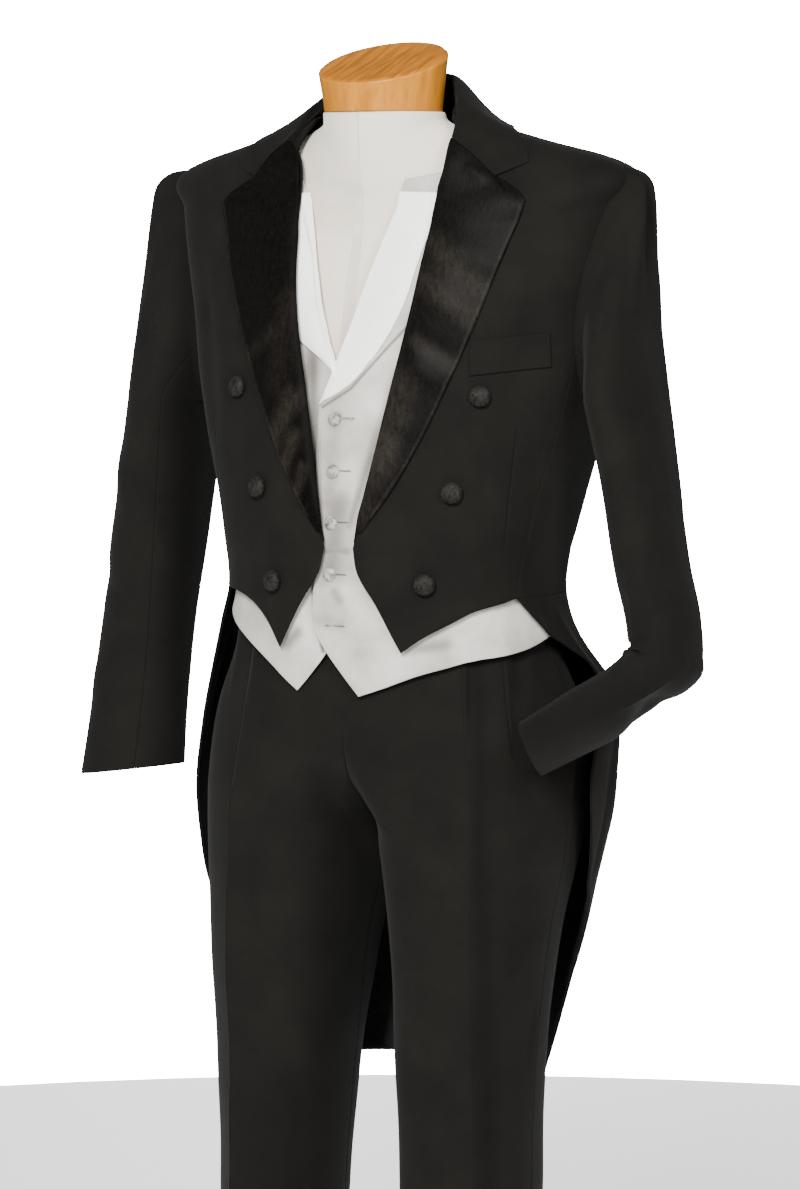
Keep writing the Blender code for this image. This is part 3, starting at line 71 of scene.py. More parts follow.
class Table:
    """Rows of named columns, read between rows by a smooth curve on the first column."""

    def __init__(self, columns, text):
        self.names = columns.split()
        numbers = [float(word) for word in text.replace(",", " ").split()]
        self.rows = np.array(numbers).reshape(-1, len(self.names))

    def column(self, name):
        """One column, from its first row to its last."""
        return self.rows[:, self.names.index(name)]

    def at(self, name, place):
        """A column's value at places between the rows."""
        return smooth(self.rows[:, 0], self.column(name), place)


# Creases, each from one place to another in two of a piece's three measures. A row gives
# the two ends, how far it stands out, how far it spreads to its right and left as seen
# from its first end to its second, and how far its middle bows to the right.
CREASE_COLUMNS = "a0 b0 a1 b1 out right left bow"


def folds(text):
    """A table of creases, written in millimetres."""
    return Table(CREASE_COLUMNS, " ".join(word + "e-3" for word in text.split()))


def stroke_rows(text):
    """Strokes of a finish, six numbers each: x0 z0 x1 z1 width depth."""
    return Table("x0 z0 x1 z1 width depth", text).rows.tolist()


def between(t, first, leave, last, arrive):
    """A cubic from first to last as t goes from 0 to 1, with its directions at both ends."""
    return (
        (2 * t**3 - 3 * t**2 + 1) * first
        + (t**3 - 2 * t**2 + t) * leave
        + (3 * t**2 - 2 * t**3) * last
        + (t**3 - t**2) * arrive
    )


def smooth(xs, ys, x):
    """Cubic pieces through the points, level past both ends."""
    xs, ys = np.asarray(xs, float), np.asarray(ys, float)
    x = np.clip(np.asarray(x, float), xs[0], xs[-1])
    slope = np.gradient(ys, xs)
    i = np.clip(np.searchsorted(xs, x, side="right") - 1, 0, len(xs) - 2)
    wide = xs[i + 1] - xs[i]
    return between((x - xs[i]) / wide, ys[i], wide * slope[i], ys[i + 1], wide * slope[i + 1])


def ease(t):
    """0 below 0 and 1 above 1, with the soft cubic 3t^2 - 2t^3 between."""
    t = np.clip(t, 0, 1)
    return t * t * (3 - 2 * t)


# Rounded sections: their half width, depth in front and behind, middle, the heights their
# front and back are tipped to, and the power that squares them
SECTION_COLUMNS = "height half_wide front back mid_y front_height back_height square"
COAT = Table(SECTION_COLUMNS, """
    .53 .15 .12 .136 -.01 .53 .53 2.15
    .64 .18 .128 .15 -.012 .64 .64 2.15
    .74 .206 .134 .158 -.012 .74 .74 2.15
    .84 .224 .138 .16 -.012 .84 .84 2.15
    .9 .219 .138 .156 -.012 .9 .9 2.15
    .96 .206 .137 .146 -.014 .96 .96 2.15
    1.01 .19 .136 .136 -.018 1.01 1.01 2.2
    1.05 .18 .135 .13 -.018 1.05 1.05 2.2
    1.1 .186 .134 .128 -.016 1.1 1.1 2.25
    1.15 .196 .132 .132 -.012 1.15 1.15 2.3
    1.2 .21 .129 .14 -.008 1.2 1.2 2.35
    1.26 .222 .125 .146 -.004 1.26 1.26 2.35
    1.33 .232 .118 .148 -.001 1.325 1.33 2.35
    1.39 .243 .108 .146 0 1.372 1.39 2.35
    1.438 .251 .098 .14 .001 1.405 1.434 2.25
    1.472 .25 .09 .132 0 1.427 1.462 2.1
    1.484 .222 .085 .122 -.002 1.438 1.48 2.05
    1.498 .178 .08 .108 -.008 1.45 1.5 2
    1.513 .132 .074 .092 -.016 1.462 1.518 2
    1.53 .08 .066 .074 -.024 1.476 1.534 2
""")


FORM = Table(SECTION_COLUMNS, """
    .868 .144 .09 .08 -.014 .868 .868 2.1
    .88 .16 .102 .092 -.014 .88 .88 2.1
    .94 .17 .112 .108 -.014 .94 .94 2.1
    1 .166 .111 .108 -.018 1 1 2.15
    1.05 .1588 .11 .107 -.018 1.05 1.05 2.2
    1.1 .162 .1095 .107 -.016 1.1 1.1 2.25
    1.2 .188 .11 .122 -.008 1.2 1.2 2.3
    1.33 .208 .1 .13 -.001 1.322 1.33 2.3
    1.4 .214 .089 .127 0 1.372 1.398 2.25
    1.434 .211 .083 .121 0 1.396 1.428 2.15
    1.46 .203 .078 .113 -.001 1.412 1.45 2.05
    1.4745 .188 .074 .104 -.003 1.424 1.468 2
    1.4862 .17 .069 .096 -.008 1.436 1.487 2
    1.4995 .125 .062 .081 -.016 1.449 1.504 2
    1.513 .088 .056 .068 -.026 1.466 1.516 2
    1.522 .068 .053 .058 -.033 1.492 1.524 2
    1.532 .064 .052 .053 -.037 1.532 1.532 2
""")


ROLL = Table("height fold edge", """
    1.098 .0165 .017, 1.115 .019 .0275, 1.15 .0265 .053, 1.2 .037 .0815, 1.25 .048 .105,
    1.3 .059 .1265, 1.35 .068 .1445, 1.4 .074 .161, 1.442 .0775 .1725, 1.47 .0785 .1725
""")

CUTAWAY = Table("height from_middle", ".9955 .069, 1.042 .043, 1.075 .0215, 1.098 .0165")
FRONT_HEM = {
    LEFT: Table("from_middle height",
        ".069 .9955, .0907 1.011, .1165 1.026, .1332 1.0365, .1503 1.043, .166 1.049",
    ),
    RIGHT: Table("from_middle height",
        ".069 .9955, .0824 1.0165, .1037 1.036, .122 1.044, .142 1.048, .166 1.049",
    ),
}


TAIL = {
    LEFT: Table("height front_angle seam_angle flare", """
        .538 127 163 0, .62 118 160 0, .7 106 157 .001, .79 90 154 .003, .87 82 152 .013,
        .915 86 151 .021, .955 93 150 .02, .99 90 149 .008, 1.02 79 149 .001, 1.049 68 149 0
    """),
    RIGHT: Table("height front_angle seam_angle flare", """
        .538 134 163 0, .6 120 160 0, .65 105 158.5 .003, .7 91 157 .008, .79 79 154 .006,
        .87 76 152 .005, .955 74 150 .004, 1 71 149 .002, 1.049 68 149 0
    """),
}
SIDE_SEAM = Table("height angle", "1.049 68, 1.1 69, 1.16 70, 1.22 71.5, 1.2953 73.46")
BACK_SEAM = Table("height angle", "1.049 149, 1.1 145, 1.18 138, 1.26 129, 1.3208 115.68")


WELT_IN = (0.1300, 1.2870)
WELT_OUT = (0.1985, 1.2960)
WELT_HIGH = 0.034
WELT_CLEAR = 0.0008         # how far it stands off the front

COAT_BUTTONS = {
    LEFT: Table("from_middle height", ".146 1.25, .1205 1.155, .0965 1.064"),
    RIGHT: Table("from_middle height", ".1275 1.255, .0955 1.155, .0705 1.062"),
}
BACK_BUTTON = (154.0, 1.066)


VEST_FOLD = Table("height from_middle",
    "1.239 -.017, 1.285 .002, 1.335 .02, 1.365 .0285, 1.39 .036, 1.43 .048, 1.465 .06",
)
VEST_LAPEL_EDGE = Table("height from_middle",
    "1.239 -.016, 1.26 .011, 1.289 .037, 1.315 .056, 1.34 .07, 1.39 .086, 1.43 .095, 1.465 .1",
)
VEST_BUTTONS = Table("height from_middle",
    "1.2262 -.0098, 1.174 -.009, 1.123 -.0083, 1.071 -.0078",
)
VEST_EDGE = {
    LEFT: Table("height from_middle", """
        .949 .0365, .97 .018, .994 -.001, 1.013 -.0125, 1.037 -.0165, 1.07 -.014, 1.114 -.011,
        1.158 -.0165, 1.198 -.0185, 1.239 -.018
    """),
    RIGHT: Table("height from_middle",
        ".951 .039, .97 .02, .99 .002, 1.01 -.009, 1.07 -.012, 1.15 -.012, 1.239 -.01",
    ),
}
VEST_HEM = {
    LEFT: Table("from_middle height",
        ".0365 .949, .062 .9575, .0985 .971, .143 .985, .17 .996, .18 1.008",
    ),
    RIGHT: Table("from_middle height",
        ".039 .951, .078 .98, .113 1.002, .138 1.016, .16 1.03, .172 1.038",
    ),
}

ARM = {
    LEFT: Table("place x y height out front turn slant", """
        0 .26 -.014 1.24 .03 .074 0 0
        1 .28 -.026 1.16 .033 .06 0 0
        2 .2985 -.038 1.085 .0335 .052 0 0
        3 .3165 -.047 1.028 .034 .05 0 0
        4 .3175 -.054 .988 .033 .049 0 0
        5 .29 -.072 .958 .0285 .048 0 0
        6 .252 -.096 .934 .0262 .047 0 0
        7 .207 -.121 .906 .0222 .045 0 .23
    """),
    RIGHT: Table("place x y height out front turn slant", """
        0 .274 0 1.24 .039 .074 0 0
        1 .289 -.004 1.135 .045 .066 0 0
        2 .2965 -.018 1.03 .048 .055 4 0
        3 .2975 -.042 .93 .051 .042 16 0
        4 .294 -.064 .849 .0535 .035 29 .2
    """),
}


LEG_COLUMNS = "height mid_x mid_y half_wide front back square turn crease"
HIPS = """
    .79 .1015 -.028 .0965 .112 .12 2.1 0 .8
    .818 .1 -.024 .1 .117 .126 2.1 0 .7
    .84 .092 -.022 .11 .12 .13 2.1 0 .6
    .88 .066 -.018 .138 .121 .131 2.1 0 .5
    .93 .03 -.016 .169 .119 .127 2.1 0 .3
    .99 0 -.017 .178 .117 .117 2.1 0 .1
    1.046 0 -.018 .1645 .115 .112 2.2 0 0
"""
LEG = {
    LEFT: Table(LEG_COLUMNS, """
        .036 .106 -.06 .063 .096 .098 2 0 1
        .2 .107 -.061 .064 .092 .094 2 0 1
        .4256 .109 -.06 .067 .088 .088 2 0 1
        .574 .105 -.053 .073 .09 .09 2 0 1
        .7 .103 -.04 .083 .1 .102 2 0 1
    """ + HIPS),
    RIGHT: Table(LEG_COLUMNS, """
        .036 .106 -.06 .062 .088 .092 2 16 1
        .2 .107 -.061 .063 .086 .09 2 16 1
        .4256 .11 -.06 .065 .085 .087 2 12 1
        .574 .108 -.053 .074 .09 .092 2 8 1
        .7 .106 -.04 .087 .102 .104 2 0 1
    """ + HIPS),
}
LEG_ROWS = (
    0.036, 0.16, 0.30, 0.4256, 0.52, 0.61, 0.69, 0.76, 0.818,
    0.836, 0.860, 0.890, 0.930, 0.970, 1.008, 1.046,
)
CREASE_HIGH, CREASE_SPREAD, CREASE_SHARP = 0.007, 11.0, 2.2
CREASE_SOFTLY, CREASE_SHARPLY = 0.62, 0.30  # how much of its height is in each bell
CREASE_CROWD = 1.35         # columns crowd towards the crease by this power
STEP_UP, STEP_ROUND = 0.0008, 0.5           # of a chart, between points compared for its facing


def section_point(table, angle, height):
    """A point of a rounded section: powers of sine and cosine, tipped to the front."""
    angle, height = np.broadcast_arrays(np.asarray(angle, float), np.asarray(height, float))
    c, s = np.cos(np.radians(angle)), np.sin(np.radians(angle))
    power = 2 / table.at("square", height)
    ahead = c > 0
    deep = np.where(ahead, table.at("front", height), table.at("back", height))
    tip = np.where(ahead, table.at("front_height", height), table.at("back_height", height))
    x = table.at("half_wide", height) * np.sign(s) * np.abs(s) ** power
    y = table.at("mid_y", height) - deep * np.sign(c) * np.abs(c) ** power
    return np.stack([x, y, height + (tip - height) * c * c], -1)


def unit(vector):
    """The same direction, one long."""
    return vector / np.linalg.norm(vector, axis=-1, keepdims=True)


def outward(table, angle, height):
    """The direction square to a chart's surface: a small step round it crossed with one up."""
    low = np.maximum(height - STEP_UP, table.rows[0, 0])
    high = np.minimum(height + STEP_UP, table.rows[-1, 0])
    along = section_point(table, angle + STEP_ROUND, height)
    along = along - section_point(table, angle - STEP_ROUND, height)
    up = section_point(table, angle, high) - section_point(table, angle, low)
    return unit(np.cross(along, up))


def on_chart(table, chart, out=0.0):
    """Points moved out from a chart, with their outward directions."""
    angle, height = chart[..., 0], chart[..., 1]
    away = outward(table, angle, height)
    out = np.broadcast_to(np.asarray(out, float), angle.shape)
    return section_point(table, angle, height) + away * out[..., None], away


CHART_TRIES = 40            # steps towards the height whose tipped section has this z
DEGREE_WIDE = 0.0035        # of cloth to a degree of the chart, near enough to space points by


def chart_of(x, z):
    """The chart's angle and height of a point on the front, from its x and its z."""
    x, z = np.broadcast_arrays(np.asarray(x, float), np.asarray(z, float))
    height = z.copy()
    angle = np.zeros_like(height)
    for _ in range(CHART_TRIES):
        ratio = np.clip(np.abs(x) / COAT.at("half_wide", height), 0, 1)
        sine = ratio ** (COAT.at("square", height) / 2)
        angle = np.degrees(np.arcsin(np.clip(sine, 0, 1))) * np.sign(x)
        lift = (COAT.at("front_height", height) - height) * np.cos(np.radians(angle)) ** 2
        height = 0.5 * height + 0.5 * (z - lift)
    return np.stack([angle, height], -1)


def spaced(points, count):
    """Points evenly along a smooth curve through the given chart points."""
    points = np.asarray(points, float)
    step = np.diff(points, axis=0) * (DEGREE_WIDE, 1.0)
    along = np.concatenate([[0], np.cumsum(np.hypot(step[:, 0], step[:, 1]))])
    want = np.linspace(0, along[-1], count)
    return np.stack([smooth(along, points[:, i], want) for i in (0, 1)], -1)


def joined(*runs):
    """Runs of points end to end, each shared point once."""
    return np.concatenate([runs[0]] + [run[1:] for run in runs[1:]])


def fill(bottom, top, start, end):
    """A grid between four curves, each point blended from all four (a Coons patch)."""
    u = np.linspace(0, 1, len(bottom))[None, :, None]
    v = np.linspace(0, 1, len(start))[:, None, None]
    sides = (1 - u) * start[:, None] + u * end[:, None]
    ends = (1 - v) * bottom[None] + v * top[None]
    corners = (1 - v) * ((1 - u) * bottom[0] + u * bottom[-1])
    corners = corners + v * ((1 - u) * top[0] + u * top[-1])
    return sides + ends - corners


def pull_back(grid, edges, gap=SEAM):
    """Moves the named edges of a grid half a seam's gap into their own piece."""
    grid = grid.copy()
    for edge in edges:
        view = {
            "start": grid.transpose(1, 0, 2),
            "end": grid.transpose(1, 0, 2)[::-1],
            "bottom": grid,
            "top": grid[::-1],
        }[edge]
        view[0] += unit(view[1] - view[0]) * gap / 2
    return grid


def leaned(points):
    """The whole suit leans with the form: x moves a little with height."""
    points = points.copy()
    points[..., 0] += LEAN * ease((points[..., 2] - LEAN_FROM) / (LEAN_TO - LEAN_FROM))
    return points


def finer(values, steps):
    """The same run of numbers with each gap cut into even steps."""
    values = np.asarray(values, float)
    place = np.arange((len(values) - 1) * steps + 1) / steps
    return np.interp(place, np.arange(len(values)), values)


def upright(angle, heights):
    """Points of a chart at one angle and many heights."""
    return np.stack([np.full_like(heights, angle), heights], -1)


def lengths(grid, axis):
    """The length along each column (axis 0) or row (axis 1) of a grid, from its start."""
    step = np.linalg.norm(np.diff(grid, axis=axis), axis=-1)
    return np.concatenate([np.zeros_like(step.take([0], axis)), np.cumsum(step, axis)], axis)


def quads(*corners):
    """Faces from four equal arrays of corner numbers."""
    return np.stack(corners, -1).reshape(-1, 4)


def finer_rows(grid, steps):
    """A grid with each gap between rows cut into steps along a smooth curve."""
    slope = np.gradient(grid, axis=0)
    place = np.arange((len(grid) - 1) * steps + 1) / steps
    i = np.minimum(place.astype(int), len(grid) - 2)
    return between((place - i)[:, None, None], grid[i], slope[i], grid[i + 1], slope[i + 1])


def turned_over(grid):
    """A grid with its rows and columns exchanged."""
    return grid.transpose(1, 0, 2)


def creased(first, second, table):
    """Soft ridges and troughs: out times a bell across the line, dying away at its ends."""
    total = np.zeros(np.shape(first))
    for a0, b0, a1, b1, out, right, left, bow in table.rows:
        long = math.hypot(a1 - a0, b1 - b0)
        da, db = (a1 - a0) / long, (b1 - b0) / long
        t = np.clip(((first - a0) * da + (second - b0) * db) / long, 0, 1)
        off = (first - a0) * db - (second - b0) * da - bow * 4 * t * (1 - t)
        wide = np.where(off > 0, right, left)
        total = total + out * np.exp(-(off / wide) ** 2) * np.sin(np.pi * t) ** CREASE_FADE
    return total


def wander(points, amount=0.0008):
    """The slow unevenness of hung cloth: a sum of three long waves through space."""
    total = 0.0
    for across, ahead, up, start, share in WAVES:
        total = total + share * np.sin(points @ (across, ahead, up) + start)
    return amount * total / WAVE_SUM


EDGE_STEP = 0.0010          # a ring of cells this wide holds each rounded edge
SEWN = -0.0003              # two pieces sewn together run this far into each other
EDGE_TUCK = 0.30            # how far each face turns in at an edge, in wall thicknesses
CREASE_FADE = 0.7           # how softly a crease dies away at its ends
WAVES = ((31, 0, 17, 0.6, 1.0), (0, 23, -29, 2.1, 0.7), (19, -13, 53, 0.0, 0.6))
WAVE_SUM = 2.3              # of the three waves' shares
LIMB_WANDER, VEST_WANDER = 0.0012, 0.0003
WHOLE_CUT, LEAST_CUT = 0.97, 0.31           # of its oblong: a cut this full states no area
REACH = 0.03                # how far off a finished piece is looked for
WIDER_TURN = 0.29           # degrees of the chart to a millimetre


def edged(grid):
    """Adds a narrow row of cells inside the first and last rows."""
    first = grid[:1] + unit(grid[1:2] - grid[:1]) * EDGE_STEP
    last = grid[-1:] + unit(grid[-2:-1] - grid[-1:]) * EDGE_STEP
    return np.concatenate([grid[:1], first, grid[1:-1], last, grid[-1:]])


def facing_of(grid):
    """The direction square to a grid: across it crossed with up it."""
    return unit(np.cross(np.gradient(grid, axis=1), np.gradient(grid, axis=0)))


def surface_of(grid):
    """The area of a grid, from its cells' diagonals."""
    first = grid[1:, 1:] - grid[:-1, :-1]
    second = grid[1:, :-1] - grid[:-1, 1:]
    return float(np.linalg.norm(np.cross(first, second), axis=-1).sum() / 2)


def shape(name, points, faces, finish, uvs=None):
    """A smooth object from numpy arrays, with the cloth's two measures as its UV map."""
    mesh = bpy.data.meshes.new(name)
    mesh.from_pydata(points.tolist(), [], faces if isinstance(faces, list) else faces.tolist())
    if uvs is not None:
        layer = mesh.uv_layers.new(name="cloth")
        loops = np.empty(len(mesh.loops), np.int32)
        mesh.loops.foreach_get("vertex_index", loops)
        layer.data.foreach_set("uv", uvs[loops].astype(np.float32).ravel())
    mesh.materials.append(finish)
    mesh.shade_smooth()
    made = bpy.data.objects.new(name, mesh)
    looks.objects.link(made)
    return made


def piece_from(name, points, faces, uvs, nodes, finish):
    """A piece riding on the part's one body, in place of its nodes."""
    piece = shape(name, points, faces, finish, uvs)
    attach(piece, "root")
    if nodes:
        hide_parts(*nodes)
    return piece


def volume_of(points, faces):
    """Six times the signed volume, to tell which way a shell's faces point."""
    a, b, c, d = (points[faces[:, i]] for i in range(4))
    return float((a * np.cross(b, c)).sum() + (a * np.cross(c, d)).sum())


def cloth(name, outer, thick, finish, side=LEFT, ring=False, seams=(), gap=SEWN,
          nodes=None, *, away):
    """A sheet of cloth: an outer grid, the same grid moved in by its wall, rounded rims."""
    outer = edged(pull_back(outer, seams, gap))
    if not ring:
        outer = turned_over(edged(turned_over(outer)))
    ends = 0 if ring else 1
    away = np.pad(away, ((1, 1), (ends, ends), (0, 0)), "edge")
    u, v = lengths(outer, 1), lengths(outer, 0)
    joint = float(np.linalg.norm(outer[:, 0] - outer[:, -1], axis=-1).max()) if ring else 0.0
    wide, long = float(u[:, -1].max()), float(v[-1].max())
    cut = (wide + joint, long, surface_of(outer) + joint * long)
    rows, columns = outer.shape[:2]
    rim = np.ones((rows, columns, 1))
    rim[1:-1, ends:columns - ends] = 0.0
    tuck = away * rim * (EDGE_TUCK * thick)
    both = np.stack([outer - tuck, outer - away * thick + tuck])
    points = leaned(both.reshape(-1, 3) * (side, 1, 1))
    n = np.arange(2 * rows * columns).reshape(2, rows, columns)
    if ring:
        n = np.concatenate([n, n[:, :, :1]], 2)
    a, b = n
    faces = [
        quads(a[:-1, :-1], a[:-1, 1:], a[1:, 1:], a[1:, :-1]),
        quads(b[:-1, :-1], b[1:, :-1], b[1:, 1:], b[:-1, 1:]),
        quads(a[0, 1:], a[0, :-1], b[0, :-1], b[0, 1:]),
        quads(a[-1, :-1], a[-1, 1:], b[-1, 1:], b[-1, :-1]),
    ]
    if not ring:
        faces.append(quads(a[:-1, 0], a[1:, 0], b[1:, 0], b[:-1, 0]))
        faces.append(quads(a[1:, -1], a[:-1, -1], b[:-1, -1], b[1:, -1]))
    faces = np.concatenate(faces)
    if volume_of(points, faces) < 0:
        faces = faces[:, ::-1]
    uvs = np.stack([u, v], -1).reshape(-1, 2)
    piece = piece_from(name, points, faces, np.concatenate([uvs, uvs]), nodes or [name], finish)
    oblong = cut[0] * cut[1]
    area = None if cut[2] / oblong > WHOLE_CUT else max(cut[2], LEAST_CUT * oblong)
    return piece


def laid_on(panel, points, away):
    """Points dropped on a finished piece along their own directions, and its facing there."""
    mesh = bpy.data.objects[panel].data
    corners = [tuple(corner.co) for corner in mesh.vertices]
    tree = BVHTree.FromPolygons(corners, [tuple(face.vertices) for face in mesh.polygons])
    spots, facing = points.reshape(-1, 3).copy(), away.reshape(-1, 3).copy()
    for i, (point, way) in enumerate(zip(spots.copy(), facing.copy())):
        hit, normal, *_ = tree.ray_cast(Vector(point + way * REACH), Vector(-way), 2 * REACH)
        if hit is not None:
            spots[i], facing[i] = hit, normal
    return spots.reshape(points.shape), facing.reshape(points.shape)


def armhole(turn, wider=0.0):
    """The armhole on the chart: 0 at its top, 90 at its front, 180 below, 270 behind.

    wider, in millimetres or so, moves it out on to the body all round.
    """
    turn = np.radians(turn)
    wide = np.where(np.sin(turn) > 0, ARMHOLE_FRONT, ARMHOLE_BACK) + wider * WIDER_TURN
    angle = ARMHOLE_SIDE - wide * np.sin(turn)
    return np.stack([angle, ARMHOLE_MID + (ARMHOLE_RISE + wider / 1000) * np.cos(turn)], -1)


# How much further from the middle each lapel folds than the table of the roll has it
FOLD_OUT = {
    LEFT: Table("height out",
        "1.098 0, 1.15 .0022, 1.25 .003, 1.35 .004, 1.4 .0042, 1.442 .0053, 1.455 .0058",
    ),
    RIGHT: Table("height out", """
        1.098 0, 1.125 .0012, 1.15 .0006, 1.2 -.0012, 1.25 -.002, 1.35 -.0022, 1.4 -.0014,
        1.442 -.0006, 1.455 -.0018
    """),
}
NECK_CURVE = {LEFT: (40.5, 1.513), RIGHT: (32.0, 1.522)}


def fold_chart(side, heights):
    """The fold of the lapel: up the front, and on to the neck seam."""
    out = FOLD_OUT[side].at("out", heights)
    return chart_of(ROLL.at("fold", heights) + out + side * COAT_SHIFT, heights)


# How many fine steps go into each coarse one of the CAD's grids
F_UP, F_WIDE = 7, 8
B_UP, B_WIDE = 5, 6
S_UP, S_WIDE = 8, 8
L_UP, L_WIDE = 8, 8
V_UP, V_WIDE = 6, 8
T_UP, T_WIDE = 10, 8
K_UP, K_WIDE = 10, 8
LAPEL_BREAK, FOLD_TOP = 1.098, 1.455


def shoulder_seam(steps):
    """From the neck out to the top of the armhole."""
    return upright(90.0, np.linspace(NECK_SEAM, SHOULDER_TIP, 6 * steps + 1))


def neck_seam(angles):
    """Points of the neck seam, which dips to the gorge at its front ends."""
    dip = GORGE_DROP * (1 - ease((angles - GORGE_ANGLE) / GORGE_RUN))
    return np.stack([angles, NECK_SEAM - dip], -1)


def side_seam(table, steps):
    """A seam up the side, at the angles of its table."""
    heights = np.linspace(table.rows[0, 0], table.rows[-1, 0], 8 * steps + 1)
    return np.stack([table.at("angle", heights), heights], -1)


def front_edge(side, steps):
    """The front's edge: cut away from its point, then the fold, then up to the gorge."""
    low = np.linspace(CUTAWAY.rows[0, 0], LAPEL_BREAK, 4 * steps + 1)
    cut = chart_of(CUTAWAY.at("from_middle", low) + side * COAT_SHIFT, low)
    fold = fold_chart(side, np.linspace(LAPEL_BREAK, FOLD_TOP, 10 * steps + 1))
    gorge = neck_seam(np.array([GORGE_ANGLE]))[0]
    t = np.linspace(0, 1, 24)[:, None]
    neck = (1 - t) ** 2 * fold[-1] + 2 * t * (1 - t) * np.array(NECK_CURVE[side]) + t**2 * gorge
    neck = spaced(neck, 2 * steps + 1)
    return joined(spaced(cut, 4 * steps + 1), fold, neck)


PAD_OUT, PAD_HEIGHT, PAD_RISE, PAD_TURN = 0.0060, 1.474, 0.024, 38.0


def padding(chart):
    """What the shoulder pad lifts the cloth by: a bell in height and one in turn."""
    rise = np.exp(-(((chart[..., 1] - PAD_HEIGHT) / PAD_RISE) ** 2))
    return PAD_OUT * rise * np.exp(-(((chart[..., 0] - 90.0) / PAD_TURN) ** 2))


STILL = 0.013                # creases die away this near to a seam


def stilled(points, edges):
    """A share for each point: 0 on the named edges of a grid, up to 1 a little way in."""
    down, across = lengths(points, 0), lengths(points, 1)
    far = {"bottom": down, "top": down[-1:] - down, "start": across, "end": across[:, -1:] - across}
    share = 1.0
    for edge in edges:
        share = share * ease(far[edge] / STILL)
    return share


def pressed(table, grid, creases, out=0.0, side=LEFT, plane="xz", still=()):
    """Points on the chart with this side's creases pressed into them."""
    points, away = on_chart(table, grid, out + padding(grid))
    first = points[..., 0] if plane[0] == "x" else points[..., 1]
    move = creased(first, points[..., 2], creases) * stilled(points, still)
    move = move + wander(points * (side, 1, 1))
    return points + away * move[..., None], away


def coat_front(side, name, finish):
    """A front: hem, side seam and armhole, neck and shoulder, and its own cut and fold."""
    start = front_edge(side, F_UP)
    hem = FRONT_HEM[side]
    share = np.linspace(0, 1, 9 * F_WIDE + 1)
    x = hem.rows[0, 0] + (hem.rows[-1, 0] - hem.rows[0, 0]) * share
    bottom = chart_of(x + side * COAT_SHIFT, hem.at("height", x))
    seam = side_seam(SIDE_SEAM, F_UP)
    bottom += (seam[0] - bottom[-1]) * np.clip(share * 9 - 8, 0, 1)[:, None]
    end = joined(seam, armhole(np.linspace(SIDE_SEAM_AT_ARMHOLE, 0, 8 * F_UP + 1)))
    neck = neck_seam(np.linspace(GORGE_ANGLE, 90, 3 * F_WIDE + 1))
    grid = fill(bottom, joined(neck, shoulder_seam(F_WIDE)), start, end)
    outer, away = pressed(COAT, grid, FRONT_CREASES[side], side=side, still=("end", "top"))
    cloth(name, outer, WOOL, finish, side, seams=("end", "top"), away=away)


def coat_side(side, name, finish):
    """The side body, between the front's side seam and the back's."""
    start, end = side_seam(SIDE_SEAM, F_UP), side_seam(BACK_SEAM, F_UP)
    share = np.linspace(0, 1, 7 * B_WIDE + 1)
    bottom = np.stack([start[0, 0] + (end[0, 0] - start[0, 0]) * share, share * 0 + WAIST_SEAM], -1)
    top = armhole(np.linspace(SIDE_SEAM_AT_ARMHOLE, 360 - BACK_SEAM_AT_ARMHOLE, len(share)))
    grid = fill(bottom, top, start, end)
    seams = ("start", "end", "bottom")
    outer, away = pressed(COAT, grid, SIDE_CREASES, side=side, plane="yz", still=(*seams, "top"))
    cloth(name, outer, WOOL, finish, side, seams=seams, away=away)


FLARE_RUN = 34.0
# How much further each tail swings out than its own table has it
SWING = {
    LEFT: Table("height out", ".538 0, .76 0, 1.049 0"),
    RIGHT: Table("height out",
        ".538 0, .6 .004, .68 .012, .745 .011, .81 .0025, .86 0, 1.049 0",
    ),
}
TAIL_HEIGHTS = (0.538, 0.60, 0.665, 0.73, 0.79, 0.84, 0.885, 0.925, 0.960, 0.990, 1.020, 1.049)


def tail_out(side, chart):
    """How far a tail stands off the chart: its flare dies away behind its front edge."""
    table = TAIL[side]
    behind = (chart[..., 0] - table.at("front_angle", chart[..., 1])) / FLARE_RUN
    flare = table.at("flare", chart[..., 1]) + SWING[side].at("out", chart[..., 1])
    return flare * np.exp(-np.maximum(behind, 0) ** 2)


def tail_grid(side, steps, columns, first, last):
    """A grid over one tail, between two columns of its table or a fixed angle."""
    table = TAIL[side]
    heights = finer(TAIL_HEIGHTS, steps)[:, None]
    ends = []
    for edge in (first, last):
        ends.append(table.at(edge, heights) if isinstance(edge, str) else heights * 0 + edge)
    angle = ends[0] + (ends[1] - ends[0]) * np.linspace(0, 1, columns)[None, :]
    return np.stack([angle, heights + angle * 0], -1)


def coat_tail(side, name, finish, lining=False):
    """A tail's side with its flare, or the satin lining inside it, seen at its front edge."""
    grid = tail_grid(side, K_UP, 7 * K_WIDE + 1, "front_angle", "seam_angle")
    creases, still = SKIRT_CREASES[side], ("end", "top")
    outer, away = pressed(COAT, grid, creases, tail_out(side, grid), side, "yz", still)
    if lining:
        outer = outer - away * (WOOL + SEAM)
        cloth(name, outer, LINING, finish, side, seams=(*still, "start", "bottom"),
              away=away)
    else:
        cloth(name, outer, WOOL, finish, side, seams=still, away=away)


VENT_OPEN, VENT_FROM, VENT_RUN = 1.2, 1.0, 0.45


